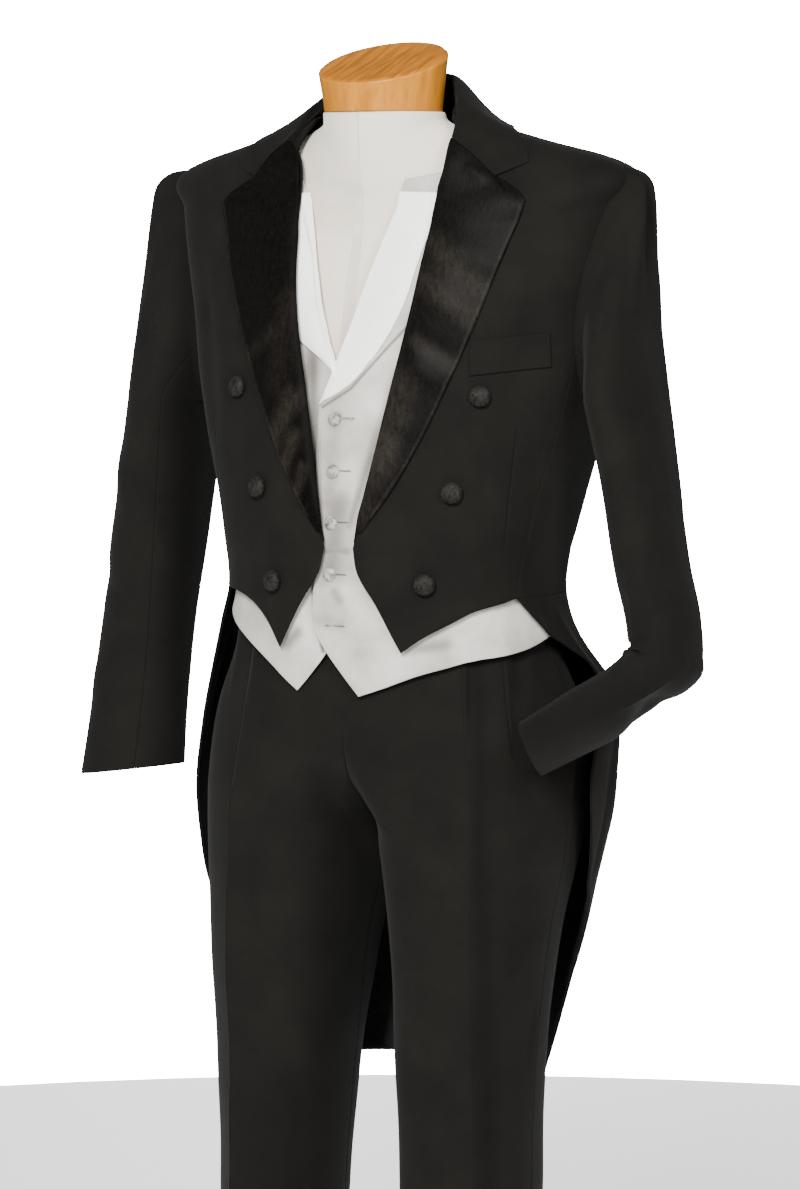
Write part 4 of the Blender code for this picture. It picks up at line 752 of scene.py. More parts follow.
def coat_back(side, name, finish):
    """A back panel, cut in one with its half of the tail's middle, open down its vent."""
    heights = finer(TAIL_HEIGHTS, B_UP)
    columns = 9 * B_WIDE + 1
    low = tail_grid(side, B_UP, columns, "seam_angle", 180.0)
    vent = VENT_OPEN * ease((VENT_FROM - heights) / VENT_RUN)
    low[..., 0] -= np.linspace(0, 1, columns)[None, :] * vent[:, None]
    arm = armhole(np.linspace(360 - BACK_SEAM_AT_ARMHOLE, 360, 8 * B_UP + 1))
    start = joined(side_seam(BACK_SEAM, B_UP), arm)
    end = upright(180.0, np.linspace(WAIST_SEAM, NECK_SEAM, len(start)))
    neck = neck_seam(np.linspace(90, 180, 3 * B_WIDE + 1))
    high = fill(low[-1], joined(shoulder_seam(B_WIDE)[::-1], neck), start, end)
    grid = np.concatenate([low, high[1:]])
    seams = ("start", "end", "top")
    outer, away = pressed(COAT, grid, BACK_CREASES[side], side=side, still=seams)
    cloth(name, outer, WOOL, finish, side, seams=seams, away=away)


LAPEL_TIP, NOTCH, COLLAR_TIP = (0.1725, 1.4425), (0.1360, 1.4660), (0.1650, 1.4795)
# The lapel begins this far above its break; it stands clear and swells out by these
LAPEL_POINT, LAPEL_CLEAR, LAPEL_BELLY, BELLY_BIAS = 0.006, 0.0006, 0.0042, 0.7
# Where the lapel's fold meets the neck seam, how far the seam dips on its way there and
# over how many degrees, and how far the fold stands off the chart there
GORGE_ANGLE, GORGE_DROP, GORGE_RUN, GORGE_LIFT = 54.0, 0.0115, 26.0, 0.0060
BELLY_FROM, BELLY_RUN = 1.10, 0.10
GORGE_SEWN = 0.0006
ROLL_FROM, ROLL_RUN = 1.44, 0.07
# It starts sunk in the front, and rises to its full roll over this height
LAPEL_SUNK, LAPEL_RISE, FOLD_LEAST, FOLD_FULL = 0.0008, 0.030, 0.05, {LEFT: 0.80, RIGHT: 0.45}


def rolled(outer, away, radius, steps=9, past=-18.0):
    """Carries a folded sheet on round its fold: an arc of this radius from its first column."""
    turn = np.radians(np.linspace(past, 90, steps))[:-1]
    radius = np.reshape(radius, (-1, 1, 1))
    aside = unit(outer[:, 0] - outer[:, 1])
    aside = unit(aside - away[:, 0] * (aside * away[:, 0]).sum(-1, keepdims=True))
    c, s = np.cos(turn)[None, :, None], np.sin(turn)[None, :, None]
    facing = c * aside[:, None] + s * away[:, :1]
    arc = outer[:, :1] + radius * (facing - away[:, :1])
    return np.concatenate([arc, outer], 1), np.concatenate([facing, away], 1)


def coat_lapel(side, name, finish):
    """The turned-back lapel: the front's own surface moved out, with a soft roll.

    It stands out by a sine across it and a square near the gorge, and rises from nothing.
    """
    shift = side * COAT_SHIFT
    heights = np.linspace(LAPEL_BREAK + LAPEL_POINT, LAPEL_TIP[1], 16 * L_UP + 1)
    edge = chart_of(ROLL.at("edge", heights) + shift, heights)
    heights = np.linspace(LAPEL_BREAK + LAPEL_POINT, FOLD_TOP, 14 * L_UP + 1)
    start = joined(fold_chart(side, heights), front_edge(side, L_UP)[-(2 * L_UP + 1):])
    notch = chart_of(NOTCH[0] + shift, NOTCH[1])
    to_notch = spaced([start[-1], notch], 4 * L_WIDE + 1)
    top = joined(to_notch, spaced([notch, edge[-1]], 2 * L_WIDE + 1))
    share = np.linspace(0, 1, 6 * L_WIDE + 1)
    grid = fill(start[0] + (edge[0] - start[0]) * share[:, None], top, start, edge)
    height = grid[..., 1]
    belly = LAPEL_BELLY * np.sin(np.pi * share**BELLY_BIAS) * ease((height - BELLY_FROM) / BELLY_RUN)
    roll = GORGE_LIFT * ease((height - ROLL_FROM) / ROLL_RUN) * (1 - share) ** 2
    risen = ease((height - grid[0, 0, 1]) / LAPEL_RISE)
    lift = (LAPEL_CLEAR + LAPEL) * risen - LAPEL_SUNK * (1 - risen)
    outer, away = pressed(COAT, grid, FRONT_CREASES[side], lift + belly + roll, side)
    pucker = creased(outer[..., 0], outer[..., 2], LAPEL_CREASES[side])
    outer = outer + away * pucker[..., None]
    radius = (LAPEL + LAPEL_CLEAR + WOOL / 3) * (FOLD_LEAST + FOLD_FULL[side] * risen[:, 0])
    outer, away = rolled(outer, away, radius, 15)
    cloth(name, outer, LAPEL, finish, side, seams=("top",), gap=GORGE_SEWN,
          away=away)


COLLAR = Table("angle fold_x fold_y fold_z edge_angle edge_height", """
    54 .0932 -.062 1.508 67 1.495, 64 .0885 -.048 1.526 71 1.5015, 78 .081 -.03 1.545 80 1.5065,
    92 .073 -.012 1.557 95 1.513, 109 .064 .006 1.566 110 1.514, 130 .046 .027 1.572 130 1.5125,
    155 .023 .04 1.574 155 1.509, 180 0 .044 1.575 180 1.507
""")
COLLAR_ANGLES = (54.0, 60.0, 67.0, 75.0, 83.0, 91.0, 99.0, 109.0, 122.0, 140.0, 160.0, 180.0)
COLLAR_CLEAR, COLLAR_STEPS, COLLAR_BELLY = 0.0019, 41, 0.0010
FOOT_RISE, FOOT_IN, FOOT_FROM, FOOT_RUN = 0.0052, 0.0010, 70.0, 25.0
FOOT_DEEP, STAND_HOLLOW = 0.0010, 0.0005
FOLD_ROUND, FOLD_UNDER, COLLAR_RISE_FULL = 0.0052, 0.0035, 0.02
COLLAR_ROLL_OUT, COLLAR_ROLL_DOWN, COLLAR_WAIST_AT = 0.34, 0.16, 0.35


def collar_half(side):
    """Half of the collar's rows, from its notch to the middle of the back.

    Each row goes up the stand, and falls along a cubic from its fold to its outer edge.
    """
    shift = side * COAT_SHIFT
    angles = np.array(COLLAR_ANGLES)
    seam = neck_seam(angles)
    edge = np.stack([COLLAR.at("edge_angle", angles), COLLAR.at("edge_height", angles)], -1)
    edge[0] = chart_of(COLLAR_TIP[0] + shift, COLLAR_TIP[1])
    notch = chart_of(NOTCH[0] + shift, NOTCH[1])
    clear = COLLAR_CLEAR + LAPEL
    low, up = on_chart(COAT, seam)
    flat = unit(up * (1, 1, 0))
    fold = np.stack([COLLAR.at(name, angles) for name in ("fold_x", "fold_y", "fold_z")], -1)
    fold[0] = on_chart(COAT, seam[:1], GORGE_LIFT + clear)[0][0]
    rise = (fold - low)[:, 2:]
    belly = COLLAR_BELLY * ease(rise[:, 0] / COLLAR_RISE_FULL)
    near, _ = on_chart(COAT, seam + (edge - seam) * COLLAR_WAIST_AT, clear + belly)
    end, _ = on_chart(COAT, edge, clear)
    first = fold + (flat * COLLAR_ROLL_OUT - UP * COLLAR_ROLL_DOWN) * rise
    t = np.linspace(0, 1, COLLAR_STEPS)[None, :, None]
    fall = (1 - t) ** 3 * fold[:, None] + 3 * (1 - t) ** 2 * t * first[:, None]
    fall = fall + 3 * (1 - t) * t**2 * near[:, None] + t**3 * end[:, None]
    third = (COLLAR_STEPS - 1) // 5
    gorge = joined(spaced([seam[0], notch], 3 * third + 1), spaced([notch, edge[0]], 2 * third + 1))
    lift = clear + GORGE_LIFT * np.maximum(1 - np.linspace(0, 1.5, COLLAR_STEPS), 0) ** 2
    fall[0] = on_chart(COAT, gorge, lift)[0]
    near_front = (1 - ease((angles - FOOT_FROM) / FOOT_RUN))[:, None]
    foot = low + UP * (SEAM + FOOT_RISE * near_front) - flat * (FOOT_DEEP + FOOT_IN * near_front)
    over = fall[:, 0] - flat * FOLD_ROUND - UP * FOLD_UNDER
    middle = (foot + over) / 2 - flat * STAND_HOLLOW
    stand_part = np.stack([foot, middle, over, fall[:, 0], fall[:, third]], 1)
    stand_part = turned_over(finer_rows(turned_over(stand_part), third))[:, :3 * third]
    return np.concatenate([stand_part, fall], 1) * (side, 1, 1)


def coat_collar(finish):
    """Stand and fall in one sheet: up from the neck seam, over, and down on the coat."""
    whole = np.concatenate([collar_half(LEFT), collar_half(RIGHT)[::-1][1:]])
    whole = finer_rows(whole, 6)
    away = facing_of(whole)
    middle = whole.mean((0, 1))
    if ((whole[:, -1] - middle) * away[:, -1]).sum() < 0:
        away = -away
    cloth("coat_collar", whole, LAPEL, finish, away=away)


HEAD_OUT, HEAD_FALL, HEAD_DOWN = 0.50, 3.6, 0.90
CROWN_FRONT, CROWN_FALL = {LEFT: 0.029, RIGHT: 0.037}, {LEFT: 0.28, RIGHT: 0.06}
CROWN_BACK, CROWN_SIDE, CROWN_DOWN, SLEEVE_CLEAR = 0.004, 0.008, 0.006, 0.0006
TUCK_WIDE, TUCK_DEEP, LIP_SHARE, LIP_OUT = 4.0, 0.0024, 0.55, 0.3
CROWN_FULL, SOFTENED, SOFT_ROWS = 0.6, 4, 14
ARM_STEP, TURN_STEP = 0.02, 2.0             # between points compared for a direction
SLEEVE_FRONT_SEAM, SLEEVE_BACK_SEAM = 122.0, 252.0
DEGREE_ROUND, SLEEVE_LONG = 0.00095, 0.66    # metres to a degree of turn, and down a sleeve
CUFF_TIP, CUFF_RUN = {LEFT: 0.0, RIGHT: 0.17}, 1.5   # how far a cuff is cut aslant


def centre_of(table, place):
    """The middle line of an arm at places along it."""
    return np.stack([table.at(name, place) for name in ("x", "y", "height")], -1)


def arm_rings(side, turns):
    """Ovals square to the arm's middle line, carried down it without twisting."""
    table = ARM[side]
    place = np.linspace(0, table.rows[-1, 0], 11 * S_UP + 1)
    centre = centre_of(table, place)
    ahead = unit(centre_of(table, place + ARM_STEP) - centre_of(table, place - ARM_STEP))
    out_axis, front_axis = OUT, AHEAD
    rings = []
    for i in range(len(place)):
        out_axis = unit(out_axis - ahead[i] * (out_axis @ ahead[i]))
        across = np.cross(out_axis, ahead[i])
        front_axis = across * np.sign(across @ front_axis)
        spin = math.radians(float(table.at("turn", place[i])))
        first = math.cos(spin) * out_axis + math.sin(spin) * front_axis
        second = -math.sin(spin) * out_axis + math.cos(spin) * front_axis
        angle = np.radians(turns)[:, None] - spin
        ring = float(table.at("out", place[i])) * np.cos(angle) * first
        ring = ring + float(table.at("front", place[i])) * np.sin(angle) * second
        ring = ring + ahead[i] * (ring @ first)[:, None] * float(table.at("slant", place[i]))
        tip = CUFF_TIP[side] * ease((place[i] - place[-1] + CUFF_RUN) / CUFF_RUN)
        rings.append(centre[i] + ring + ahead[i] * (ring @ second)[:, None] * tip)
    return np.array(rings), ahead[0]


def sleeve_rings(side, turns):
    """Rings of one sleeve, each at the same turns: tucked in, a blended head, then the arm."""
    rings, down = arm_rings(side, turns)
    around, beyond = armhole(turns), armhole(turns, TUCK_WIDE)
    hole, away = on_chart(COAT, around, padding(around))
    tucked, _ = on_chart(COAT, beyond, padding(beyond) - TUCK_DEEP)
    lip = hole - away * (TUCK_DEEP * LIP_SHARE) + OUT * SLEEVE_CLEAR * LIP_OUT
    hole = hole + OUT * SLEEVE_CLEAR
    crown = np.maximum(np.cos(np.radians(turns)), 0)[:, None]
    ahead_share = 0.5 + 0.5 * np.sin(np.radians(turns))[:, None]
    crown_out = CROWN_BACK + (CROWN_FRONT[side] - CROWN_BACK) * ahead_share
    stand_out = CROWN_SIDE + (crown_out - CROWN_SIDE) * crown**CROWN_FULL
    corner = hole + stand_out * OUT
    corner = corner - UP * (CROWN_FALL[side] * stand_out * crown + CROWN_DOWN * (1 - crown))
    span = np.linalg.norm(rings[0] - corner, axis=-1, keepdims=True)
    leave = span * HEAD_OUT * unit(OUT - UP * HEAD_FALL)
    t = np.linspace(0, 1, 6 * S_UP + 1)[:, None, None]
    head = between(t, corner, leave, rings[0], span * HEAD_DOWN * down)
    rise = hole + (corner - hole) * np.linspace(0, 1, 7)[:-1, None, None]
    whole = np.concatenate([rise, head, rings[1:]])
    for _ in range(SOFTENED):
        inside = whole[1:SOFT_ROWS]
        whole[1:SOFT_ROWS] = (whole[:SOFT_ROWS - 1] + 2 * inside + whole[2:SOFT_ROWS + 1]) / 4
    return np.concatenate([[tucked, (tucked + lip) / 2, lip], whole])


def sleeve_piece(side, name, first_turn, last_turn, columns, finish, nodes=None):
    """One of the sleeve's two pieces: the rings between its two seams."""
    turns = np.linspace(first_turn, last_turn, columns)
    rings = sleeve_rings(side, turns)
    across_it = sleeve_rings(side, turns + TURN_STEP) - sleeve_rings(side, turns - TURN_STEP)
    away = unit(np.cross(across_it, np.gradient(rings, axis=0)))
    away[0] = away[1]
    middle = sleeve_rings(side, np.arange(0, 360, 20.0)).mean(1, keepdims=True)
    away = away * np.sign(((rings - middle) * away).sum())
    share = np.clip(np.arange(len(rings)) - 3, 0, None)[:, None] / (len(rings) - 4) + 0 * turns[None, :]
    round_it = turns[None, :] * DEGREE_ROUND + 0 * share
    move = creased(round_it, share * SLEEVE_LONG, SLEEVE_CREASES[side])
    move = move * stilled(rings, ("start", "end"))
    move = move + wander(rings * (side, 1, 1), LIMB_WANDER) * ease(share * 4)
    rings = rings + away * move[..., None]
    cloth(name, rings, WOOL, finish, side, seams=("start", "end"), away=away,
          nodes=nodes)


def breast_welt(finish):
    """A band of cloth over the pocket's mouth, moved out from the front."""
    u = np.linspace(0, 1, 57)[None, :]
    v = np.linspace(0, 1, 25)[:, None]
    x = WELT_IN[0] + (WELT_OUT[0] - WELT_IN[0]) * u + 0 * v
    z = WELT_IN[1] + (WELT_OUT[1] - WELT_IN[1]) * u + WELT_HIGH * (v - 0.5)
    grid = chart_of(x + COAT_SHIFT, z)
    outer, away = pressed(COAT, grid, FRONT_CREASES[LEFT], WELT_CLEAR + SATIN)
    cloth("coat_breast_welt", outer, SATIN, finish, away=away)


def shell(rings, ends):
    """Points and faces of rings that close round, with a fan to a point at each end."""
    rows, columns = rings.shape[:2]
    points = np.concatenate([rings.reshape(-1, 3), ends])
    n = np.arange(rows * columns).reshape(rows, columns)
    n = np.concatenate([n, n[:, :1]], 1)
    faces = quads(n[:-1, :-1], n[:-1, 1:], n[1:, 1:], n[1:, :-1]).tolist()
    for row, end in ((n[0, ::-1].tolist(), rows * columns), (n[-1].tolist(), rows * columns + 1)):
        faces += [(end, a, b) for a, b in zip(row, row[1:])]
    return points, faces


def spun(name, profile, sides, finish, centre=(0, 0, 0), axis=(0, 0, 1), gathers=0):
    """A profile of radii and heights turned about an axis, closed at both ends.

    With gathers the radius swells by a cosine of the turn, most at the widest ring.
    """
    profile = np.asarray(profile, float)
    turn = np.linspace(0, 2 * np.pi, sides, endpoint=False)
    radius, height = profile[1:-1, :1], profile[1:-1, 1:]
    swell = 1 + GATHER_DEEP * (radius / radius.max()) ** 4 * np.cos(gathers * turn) * (gathers > 0)
    rings = [radius * np.cos(turn) * swell, radius * np.sin(turn) * swell, height + 0 * turn]
    points, faces = shell(np.stack(rings, -1), [(0, 0, profile[0, 1]), (0, 0, profile[-1, 1])])
    faces = [(face[0], *face[:0:-1]) for face in faces]
    to = np.array(Vector(axis).to_track_quat("Z", "Y").to_matrix())
    placed = points @ to.T + np.asarray(centre, float)
    return piece_from(name, placed, faces, points[:, :2], [name], finish)


# A button's rim, foot and shank as shares of its height and width; a flat one's foot
RIM_SHARE, FOOT_SHARE, FOOT_DROP, SHANK_SHARE, FLAT_FOOT = 0.30, 0.90, 0.97, 0.20, 0.38
GATHERS, GATHER_DEEP = 17, 0.045


def covered_button(name, panel, chart, side, wide, high, shank, slot, finish):
    """A covered button: a dome, a foot drawn in below its rim, and a shank.

    Both are quarter turns of sine and cosine; the cloth is gathered round the rim.
    """
    turn = np.radians(np.linspace(0, 90, 13)[1:])
    crown = RIM_SHARE + (1 - RIM_SHARE) * np.cos(turn)
    dome = np.stack([wide / 2 * np.sin(turn), shank + high * crown], -1)
    turn = np.radians(np.linspace(0, 80, 7)[1:])
    drawn_in = FOOT_SHARE + (1 - FOOT_SHARE) * np.cos(turn)
    down = RIM_SHARE * (1 - np.sin(turn) * FOOT_DROP)
    foot = np.stack([wide / 2 * drawn_in, shank + high * down], -1)
    stem = [(wide * FLAT_FOOT, 0.0)]
    if shank:
        stem = [(wide * SHANK_SHARE, shank), (wide * SHANK_SHARE, 0.0)]
    profile = np.array([(0.0, shank + high), *dome, *foot, *stem, (0.0, 0.0)])
    profile[:, 1] = np.maximum(profile[:, 1], 0)
    spot, away = on_chart(COAT, np.array([chart]))
    spot, away = laid_on(panel, leaned(spot * (side, 1, 1)), away * (side, 1, 1))
    centre = spot[0] + away[0] * BUTTON_CLEAR
    return spun(name, profile, 51, finish, centre, away[0], GATHERS)


def coat_buttons(finish):
    """Three on each front, and one at each side of the back's waist."""
    sizes = (BUTTON_WIDE, BUTTON_HIGH, SHANK, "black_satin", finish)
    for side, label in ((LEFT, "l"), (RIGHT, "r")):
        for number, place in enumerate(COAT_BUTTONS[side].rows, start=1):
            name = f"coat_button_{label}_{number}"
            covered_button(name, f"coat_front_{label}", chart_of(*place), side, *sizes)
        name = f"coat_back_button_{label}"
        covered_button(name, f"coat_back_{label}", np.array(BACK_BUTTON), side, *sizes)


VEST_SIDE_ANGLE, VEST_BACK_HEM, VEST_SIDE_FROM = 92.0, 1.040, 1.075
VEST_SHOULDER_IN, VEST_SHOULDER_OUT = 1.516, 1.494
DIP_TO, DIP_RUN = 9.0, 10.0
VEST_ARM_LOW, VEST_OVERLAP_TOP, VEST_FOLD_TOP = 1.228, 1.239, 1.465
VEST_NECK_MIDDLE, VEST_UNDER_FOLD, HEM_END_UP = (62.0, 1.505), 0.004, 0.006
VEST_BACK_NECK = ((130.0, 1.519), (180.0, 1.520))
VEST_ARMHOLE = Table("place angle height",
    "0 92 1.228, 1 74 1.242, 2 62 1.285, 3 57.5 1.35, 4 60 1.42, 5 74 1.47, 6 90 1.494",
)
VEST_BACK_ARMHOLE = Table("place angle height",
    "0 92 1.228, 1 108 1.245, 2 118 1.29, 3 121 1.35, 4 119 1.42, 5 107 1.47, 6 90 1.494",
)


def vest_chart(side, x, z):
    """The chart's angle and height of a point of the waistcoat, from its own middle."""
    return chart_of(x + side * VEST_SHIFT, z)


def vest_depth(side, chart):
    """The right front dips under the left one along the middle."""
    if side == LEFT:
        return np.full(chart.shape[:-1], -VEST_DEEP)
    blend = ease((chart[..., 0] - DIP_TO) / DIP_RUN)
    return -VEST_UNDER + (VEST_UNDER - VEST_DEEP) * blend


def vest_side_seam(low, steps):
    """The waistcoat's side seam from its hem, straight up under the arm."""
    heights = finer(np.concatenate([[low], np.linspace(VEST_SIDE_FROM, VEST_ARM_LOW, 5)]), steps)
    return upright(VEST_SIDE_ANGLE, heights)


def table_run(table, count):
    """Chart points evenly along a table of places, angles and heights."""
    place = np.linspace(0, table.rows[-1, 0], count)
    return np.stack([table.at("angle", place), table.at("height", place)], -1)


def vest_front(side, name, finish):
    """A waistcoat front: edge and fold, pointed hem, side seam and armhole, and shoulder."""
    edge, hem = VEST_EDGE[side], VEST_HEM[side]
    low = np.linspace(edge.rows[0, 0], edge.rows[-1, 0], 9 * V_UP + 1)
    below = vest_chart(side, edge.at("from_middle", low), low)
    high = np.linspace(VEST_OVERLAP_TOP, VEST_FOLD_TOP, 5 * V_UP + 1)
    further = 0.0 if side == LEFT else VEST_UNDER_FOLD
    fold = vest_chart(side, VEST_FOLD.at("from_middle", high) + further, high)
    neck = spaced([fold[-1], VEST_NECK_MIDDLE, (90.0, VEST_SHOULDER_IN)], 2 * V_UP + 1)
    fold = spaced([below[-1], *fold[1:]], 5 * V_UP + 1)
    start = joined(spaced(below, 8 * V_UP + 1), fold, neck)
    x = np.linspace(hem.rows[0, 0], hem.rows[-1, 0], 7 * V_WIDE + 1)
    bottom = vest_chart(side, x, hem.at("height", x))
    turn = np.clip(np.linspace(0, 7, len(x)) - 6, 0, 1)[:, None]
    bottom += (np.array([VEST_SIDE_ANGLE, hem.rows[-1, 1] + HEM_END_UP]) - bottom[-1]) * turn
    bottom = spaced(bottom, len(x))
    seam = vest_side_seam(bottom[-1, 1], V_UP)
    end = joined(seam, table_run(VEST_ARMHOLE, len(start) - len(seam) + 1))
    top = upright(90.0, np.linspace(VEST_SHOULDER_IN, VEST_SHOULDER_OUT, len(x)))
    grid = fill(bottom, top, start, end)
    outer, away = on_chart(COAT, grid, vest_depth(side, grid))
    move = creased(outer[..., 0], outer[..., 2], VEST_CREASES[side]) * stilled(outer, ("end", "top"))
    outer = outer + away * (move + wander(outer, VEST_WANDER))[..., None]
    cloth(name, outer, SATIN, finish, side, seams=("end", "top"), away=away)


def vest_back(finish):
    """The waistcoat's back: one half from its side seam, and the same mirrored."""
    low = VEST_BACK_HEM
    start = joined(vest_side_seam(low, V_UP), table_run(VEST_BACK_ARMHOLE, 6 * V_UP + 1))
    end = upright(180.0, np.linspace(low, VEST_BACK_NECK[-1][1], len(start)))
    angle = np.linspace(VEST_SIDE_ANGLE, 180, 5 * V_WIDE + 1)
    bottom = np.stack([angle, angle * 0 + low], -1)
    shoulder = upright(90.0, np.linspace(VEST_SHOULDER_OUT, VEST_SHOULDER_IN, 2 * V_WIDE + 1))
    neck = spaced([(90.0, VEST_SHOULDER_IN), *VEST_BACK_NECK], 3 * V_WIDE + 1)
    grid = fill(bottom, joined(shoulder, neck), start, end)
    halves = on_chart(COAT, grid, -VEST_DEEP)
    outer, away = (np.concatenate([h, h[:, ::-1][:, 1:] * (-1, 1, 1)], 1) for h in halves)
    cloth("vest_back", outer, SATIN, finish, seams=("start", "end", "top"), away=away)


VEST_LAPEL_FROM, VEST_LAPEL_TO = {LEFT: 1.240, RIGHT: 1.264}, 1.452
VEST_LAPEL_IN, VEST_LAPEL_BELLY = 0.0015, 0.0016
VEST_LAPEL_OUT = Table("height out",
    "1.24 0, 1.262 .007, 1.29 .0075, 1.33 .004, 1.38 0, 1.452 0",
)
VEST_LAPEL_END, VEST_LAPEL_TAPER = 0.10, {LEFT: 0.010, RIGHT: 0.060}


def vest_lapel(side, name, finish):
    """A shawl lapel laid on its front: the front's surface moved out, wider from its point."""
    heights = np.linspace(VEST_LAPEL_FROM[side], VEST_LAPEL_TO, 9 * V_UP + 1)
    fold = vest_chart(side, VEST_FOLD.at("from_middle", heights) + VEST_LAPEL_IN, heights)
    from_middle = VEST_LAPEL_EDGE.at("from_middle", heights) + VEST_LAPEL_OUT.at("out", heights)
    edge = vest_chart(side, from_middle, heights)
    widened = ease((heights - heights[0]) / VEST_LAPEL_TAPER[side])
    edge = fold + (edge - fold) * (VEST_LAPEL_END + (1 - VEST_LAPEL_END) * widened)[:, None]
    share = np.linspace(0, 1, 4 * V_WIDE + 1)
    grid = fold[:, None] + (edge - fold)[:, None] * share[None, :, None]
    belly = VEST_LAPEL_BELLY * np.sin(np.pi * share)[None, :, None]
    outer, away = on_chart(COAT, grid, -VEST_DEEP)
    turn = np.array([side, 1, 1])
    start = leaned(outer * turn)
    down, _ = laid_on(f"vest_front_{name[-1]}", start, away * turn)
    drop = ((down - start) * away * turn).sum(-1, keepdims=True)
    pucker = creased(outer[..., 0], outer[..., 2], VEST_LAPEL_CREASES[side])[..., None]
    outer = outer + away * (drop + VEST_LAPEL_CLEAR + SATIN + belly + pucker)
    outer, away = rolled(outer, away, SATIN + VEST_LAPEL_CLEAR + SATIN / 2)
    cloth(name, outer, SATIN, finish, side, away=away)


def vest_buttons(finish):
    """Four flat covered buttons down the left front."""
    sizes = (VEST_BUTTON_WIDE, VEST_BUTTON_HIGH, 0.0, "white_satin", finish)
    for number, (height, x) in enumerate(VEST_BUTTONS.rows, start=1):
        covered_button(f"vest_button_{number}", "vest_front_l", chart_of(x, height), LEFT, *sizes)


# Each buttonhole of the waistcoat: the height, then x of its eyelet and of its bar
BUTTONHOLES = Table("height eyelet bar", """
    1.2262 -.007 .0098, 1.174 -.0065 .01, 1.123 -.006 .0102, 1.071 -.0055 .0104, 1.0195 -.012 .0098
""").rows.tolist()
EYELET, SLIT, THREAD, THREAD_FLAT, STITCH_SWELL = 0.0020, 0.0010, 0.00070, 0.8, 0.16


def keyhole(start, end):
    """A buttonhole's outline: round its eyelet, and along both sides of the slit to its bar."""
    turn = np.radians(np.linspace(28, 332, 40)) - np.pi
    eye = np.stack([start + EYELET - EYELET * np.cos(turn), EYELET * np.sin(turn)], -1)
    low, high = np.array([end, -SLIT]), np.array([end, SLIT])
    t = np.linspace(0, 1, 30)[1:, None]
    bar = low + (high - low) * np.linspace(0, 1, 8)[1:, None]
    return np.concatenate([eye, eye[-1] + (low - eye[-1]) * t, bar, high + (eye[0] - high) * t[:-1]])


def vest_buttonholes(finish):
    """Rings of close stitches round each buttonhole, laid on the left front.

    A tube of eight sides follows each outline; its radius swells once for every stitch.
    """
    points, faces = [], []
    turn = np.linspace(0, 2 * np.pi, 8, endpoint=False)[None, :, None]
    for height, start, end in BUTTONHOLES:
        outline = keyhole(start, end)
        chart = chart_of(outline[:, 0], height + outline[:, 1])
        spots, away = on_chart(COAT, chart, -VEST_DEEP)
        spots, away = laid_on("vest_front_l", leaned(spots), away)
        ahead = unit(np.roll(spots, -1, 0) - np.roll(spots, 1, 0))
        aside = unit(np.cross(ahead, away))
        swell = THREAD * (1 + STITCH_SWELL * np.cos(np.arange(len(spots)) * np.pi))
        ring = np.cos(turn) * aside[:, None] + THREAD_FLAT * np.sin(turn) * away[:, None]
        tube = spots[:, None] + ring * swell[:, None, None] + away[:, None] * THREAD * 0.5
        n = sum(map(len, points)) + np.arange(len(spots) * 8).reshape(-1, 8)
        on = np.roll(n, -1, 1)
        points.append(tube.reshape(-1, 3))
        faces.append(quads(n, on, np.roll(on, -1, 0), np.roll(n, -1, 0)))
        if volume_of(np.concatenate(points), faces[-1]) < 0:
            faces[-1] = faces[-1][:, ::-1]
    points = np.concatenate(points)
    piece_from("vest_buttonholes", points, np.concatenate(faces), points[:, ::2], None,
               finish)


def leg_point(side, angle, height, middle=True):
    """A trouser leg's surface: 0 at its outer side, 90 in front, 180 inside.

    Powers of sine and cosine, deeper by a wide and a sharp bell where the leg is pressed.
    """
    table = LEG[side]
    angle, height = np.broadcast_arrays(np.asarray(angle, float), np.asarray(height, float))
    c, s = np.cos(np.radians(angle)), np.sin(np.radians(angle))
    power = 2 / table.at("square", height)
    deep = np.where(s > 0, table.at("front", height), table.at("back", height))
    off = np.abs(angle) - crease_angle(side, angle, height)
    bell = CREASE_SOFTLY * np.exp(-(off / CREASE_SPREAD) ** 2)
    bell = bell + CREASE_SHARPLY * np.exp(-np.abs(off / CREASE_SHARP))
    deep = deep + CREASE_HIGH * table.at("crease", height) * bell
    x = table.at("half_wide", height) * np.sign(c) * np.abs(c) ** power
    y = -deep * np.sign(s) * np.abs(s) ** power
    spin = -np.radians(table.at("turn", height))
    across = table.at("mid_x", height) + x * np.cos(spin) - y * np.sin(spin)
    ahead = table.at("mid_y", height) + x * np.sin(spin) + y * np.cos(spin)
    return np.stack([np.maximum(across, 0.0) if middle else across, ahead, height], -1)


PRESSED_FRONT = {
    LEFT: Table("height angle", """
        .036 51, .46 52.3, .55 54, .65 58.5, .75 62.5, .85 61.5, .91 56.5, .95 52, .99 47.8,
        1.046 44
    """),
    RIGHT: Table("height angle",
        ".036 55, .43 56, .63 68.4, .73 74, .83 73, .93 64, 1.046 56",
    ),
}
PRESSED_BACK = 92.0
LEG_TURN, LEG_STEP = 0.6, 0.002             # between points compared for a leg's facing
# The cloth lies still by the middle plane and up to the band, over these widths
MIDDLE_FLAT, MIDDLE_RUN, TOP_RUN = 0.002, 0.012, 0.03


def crease_angle(side, angle, height):
    """Where a leg is pressed: by its table in front, and straight down the back."""
    return np.where(angle > 0, PRESSED_FRONT[side].at("angle", height), PRESSED_BACK)


def middle_angle(side, height):
    """Where a leg's section reaches the middle plane: 180 below the crotch."""
    table = LEG[side]
    ratio = np.clip(table.at("mid_x", height) / table.at("half_wide", height), 0, 1)
    power = table.at("square", height) / 2
    return 90 + np.degrees(np.arcsin(np.clip(ratio**power, 0, 1)))


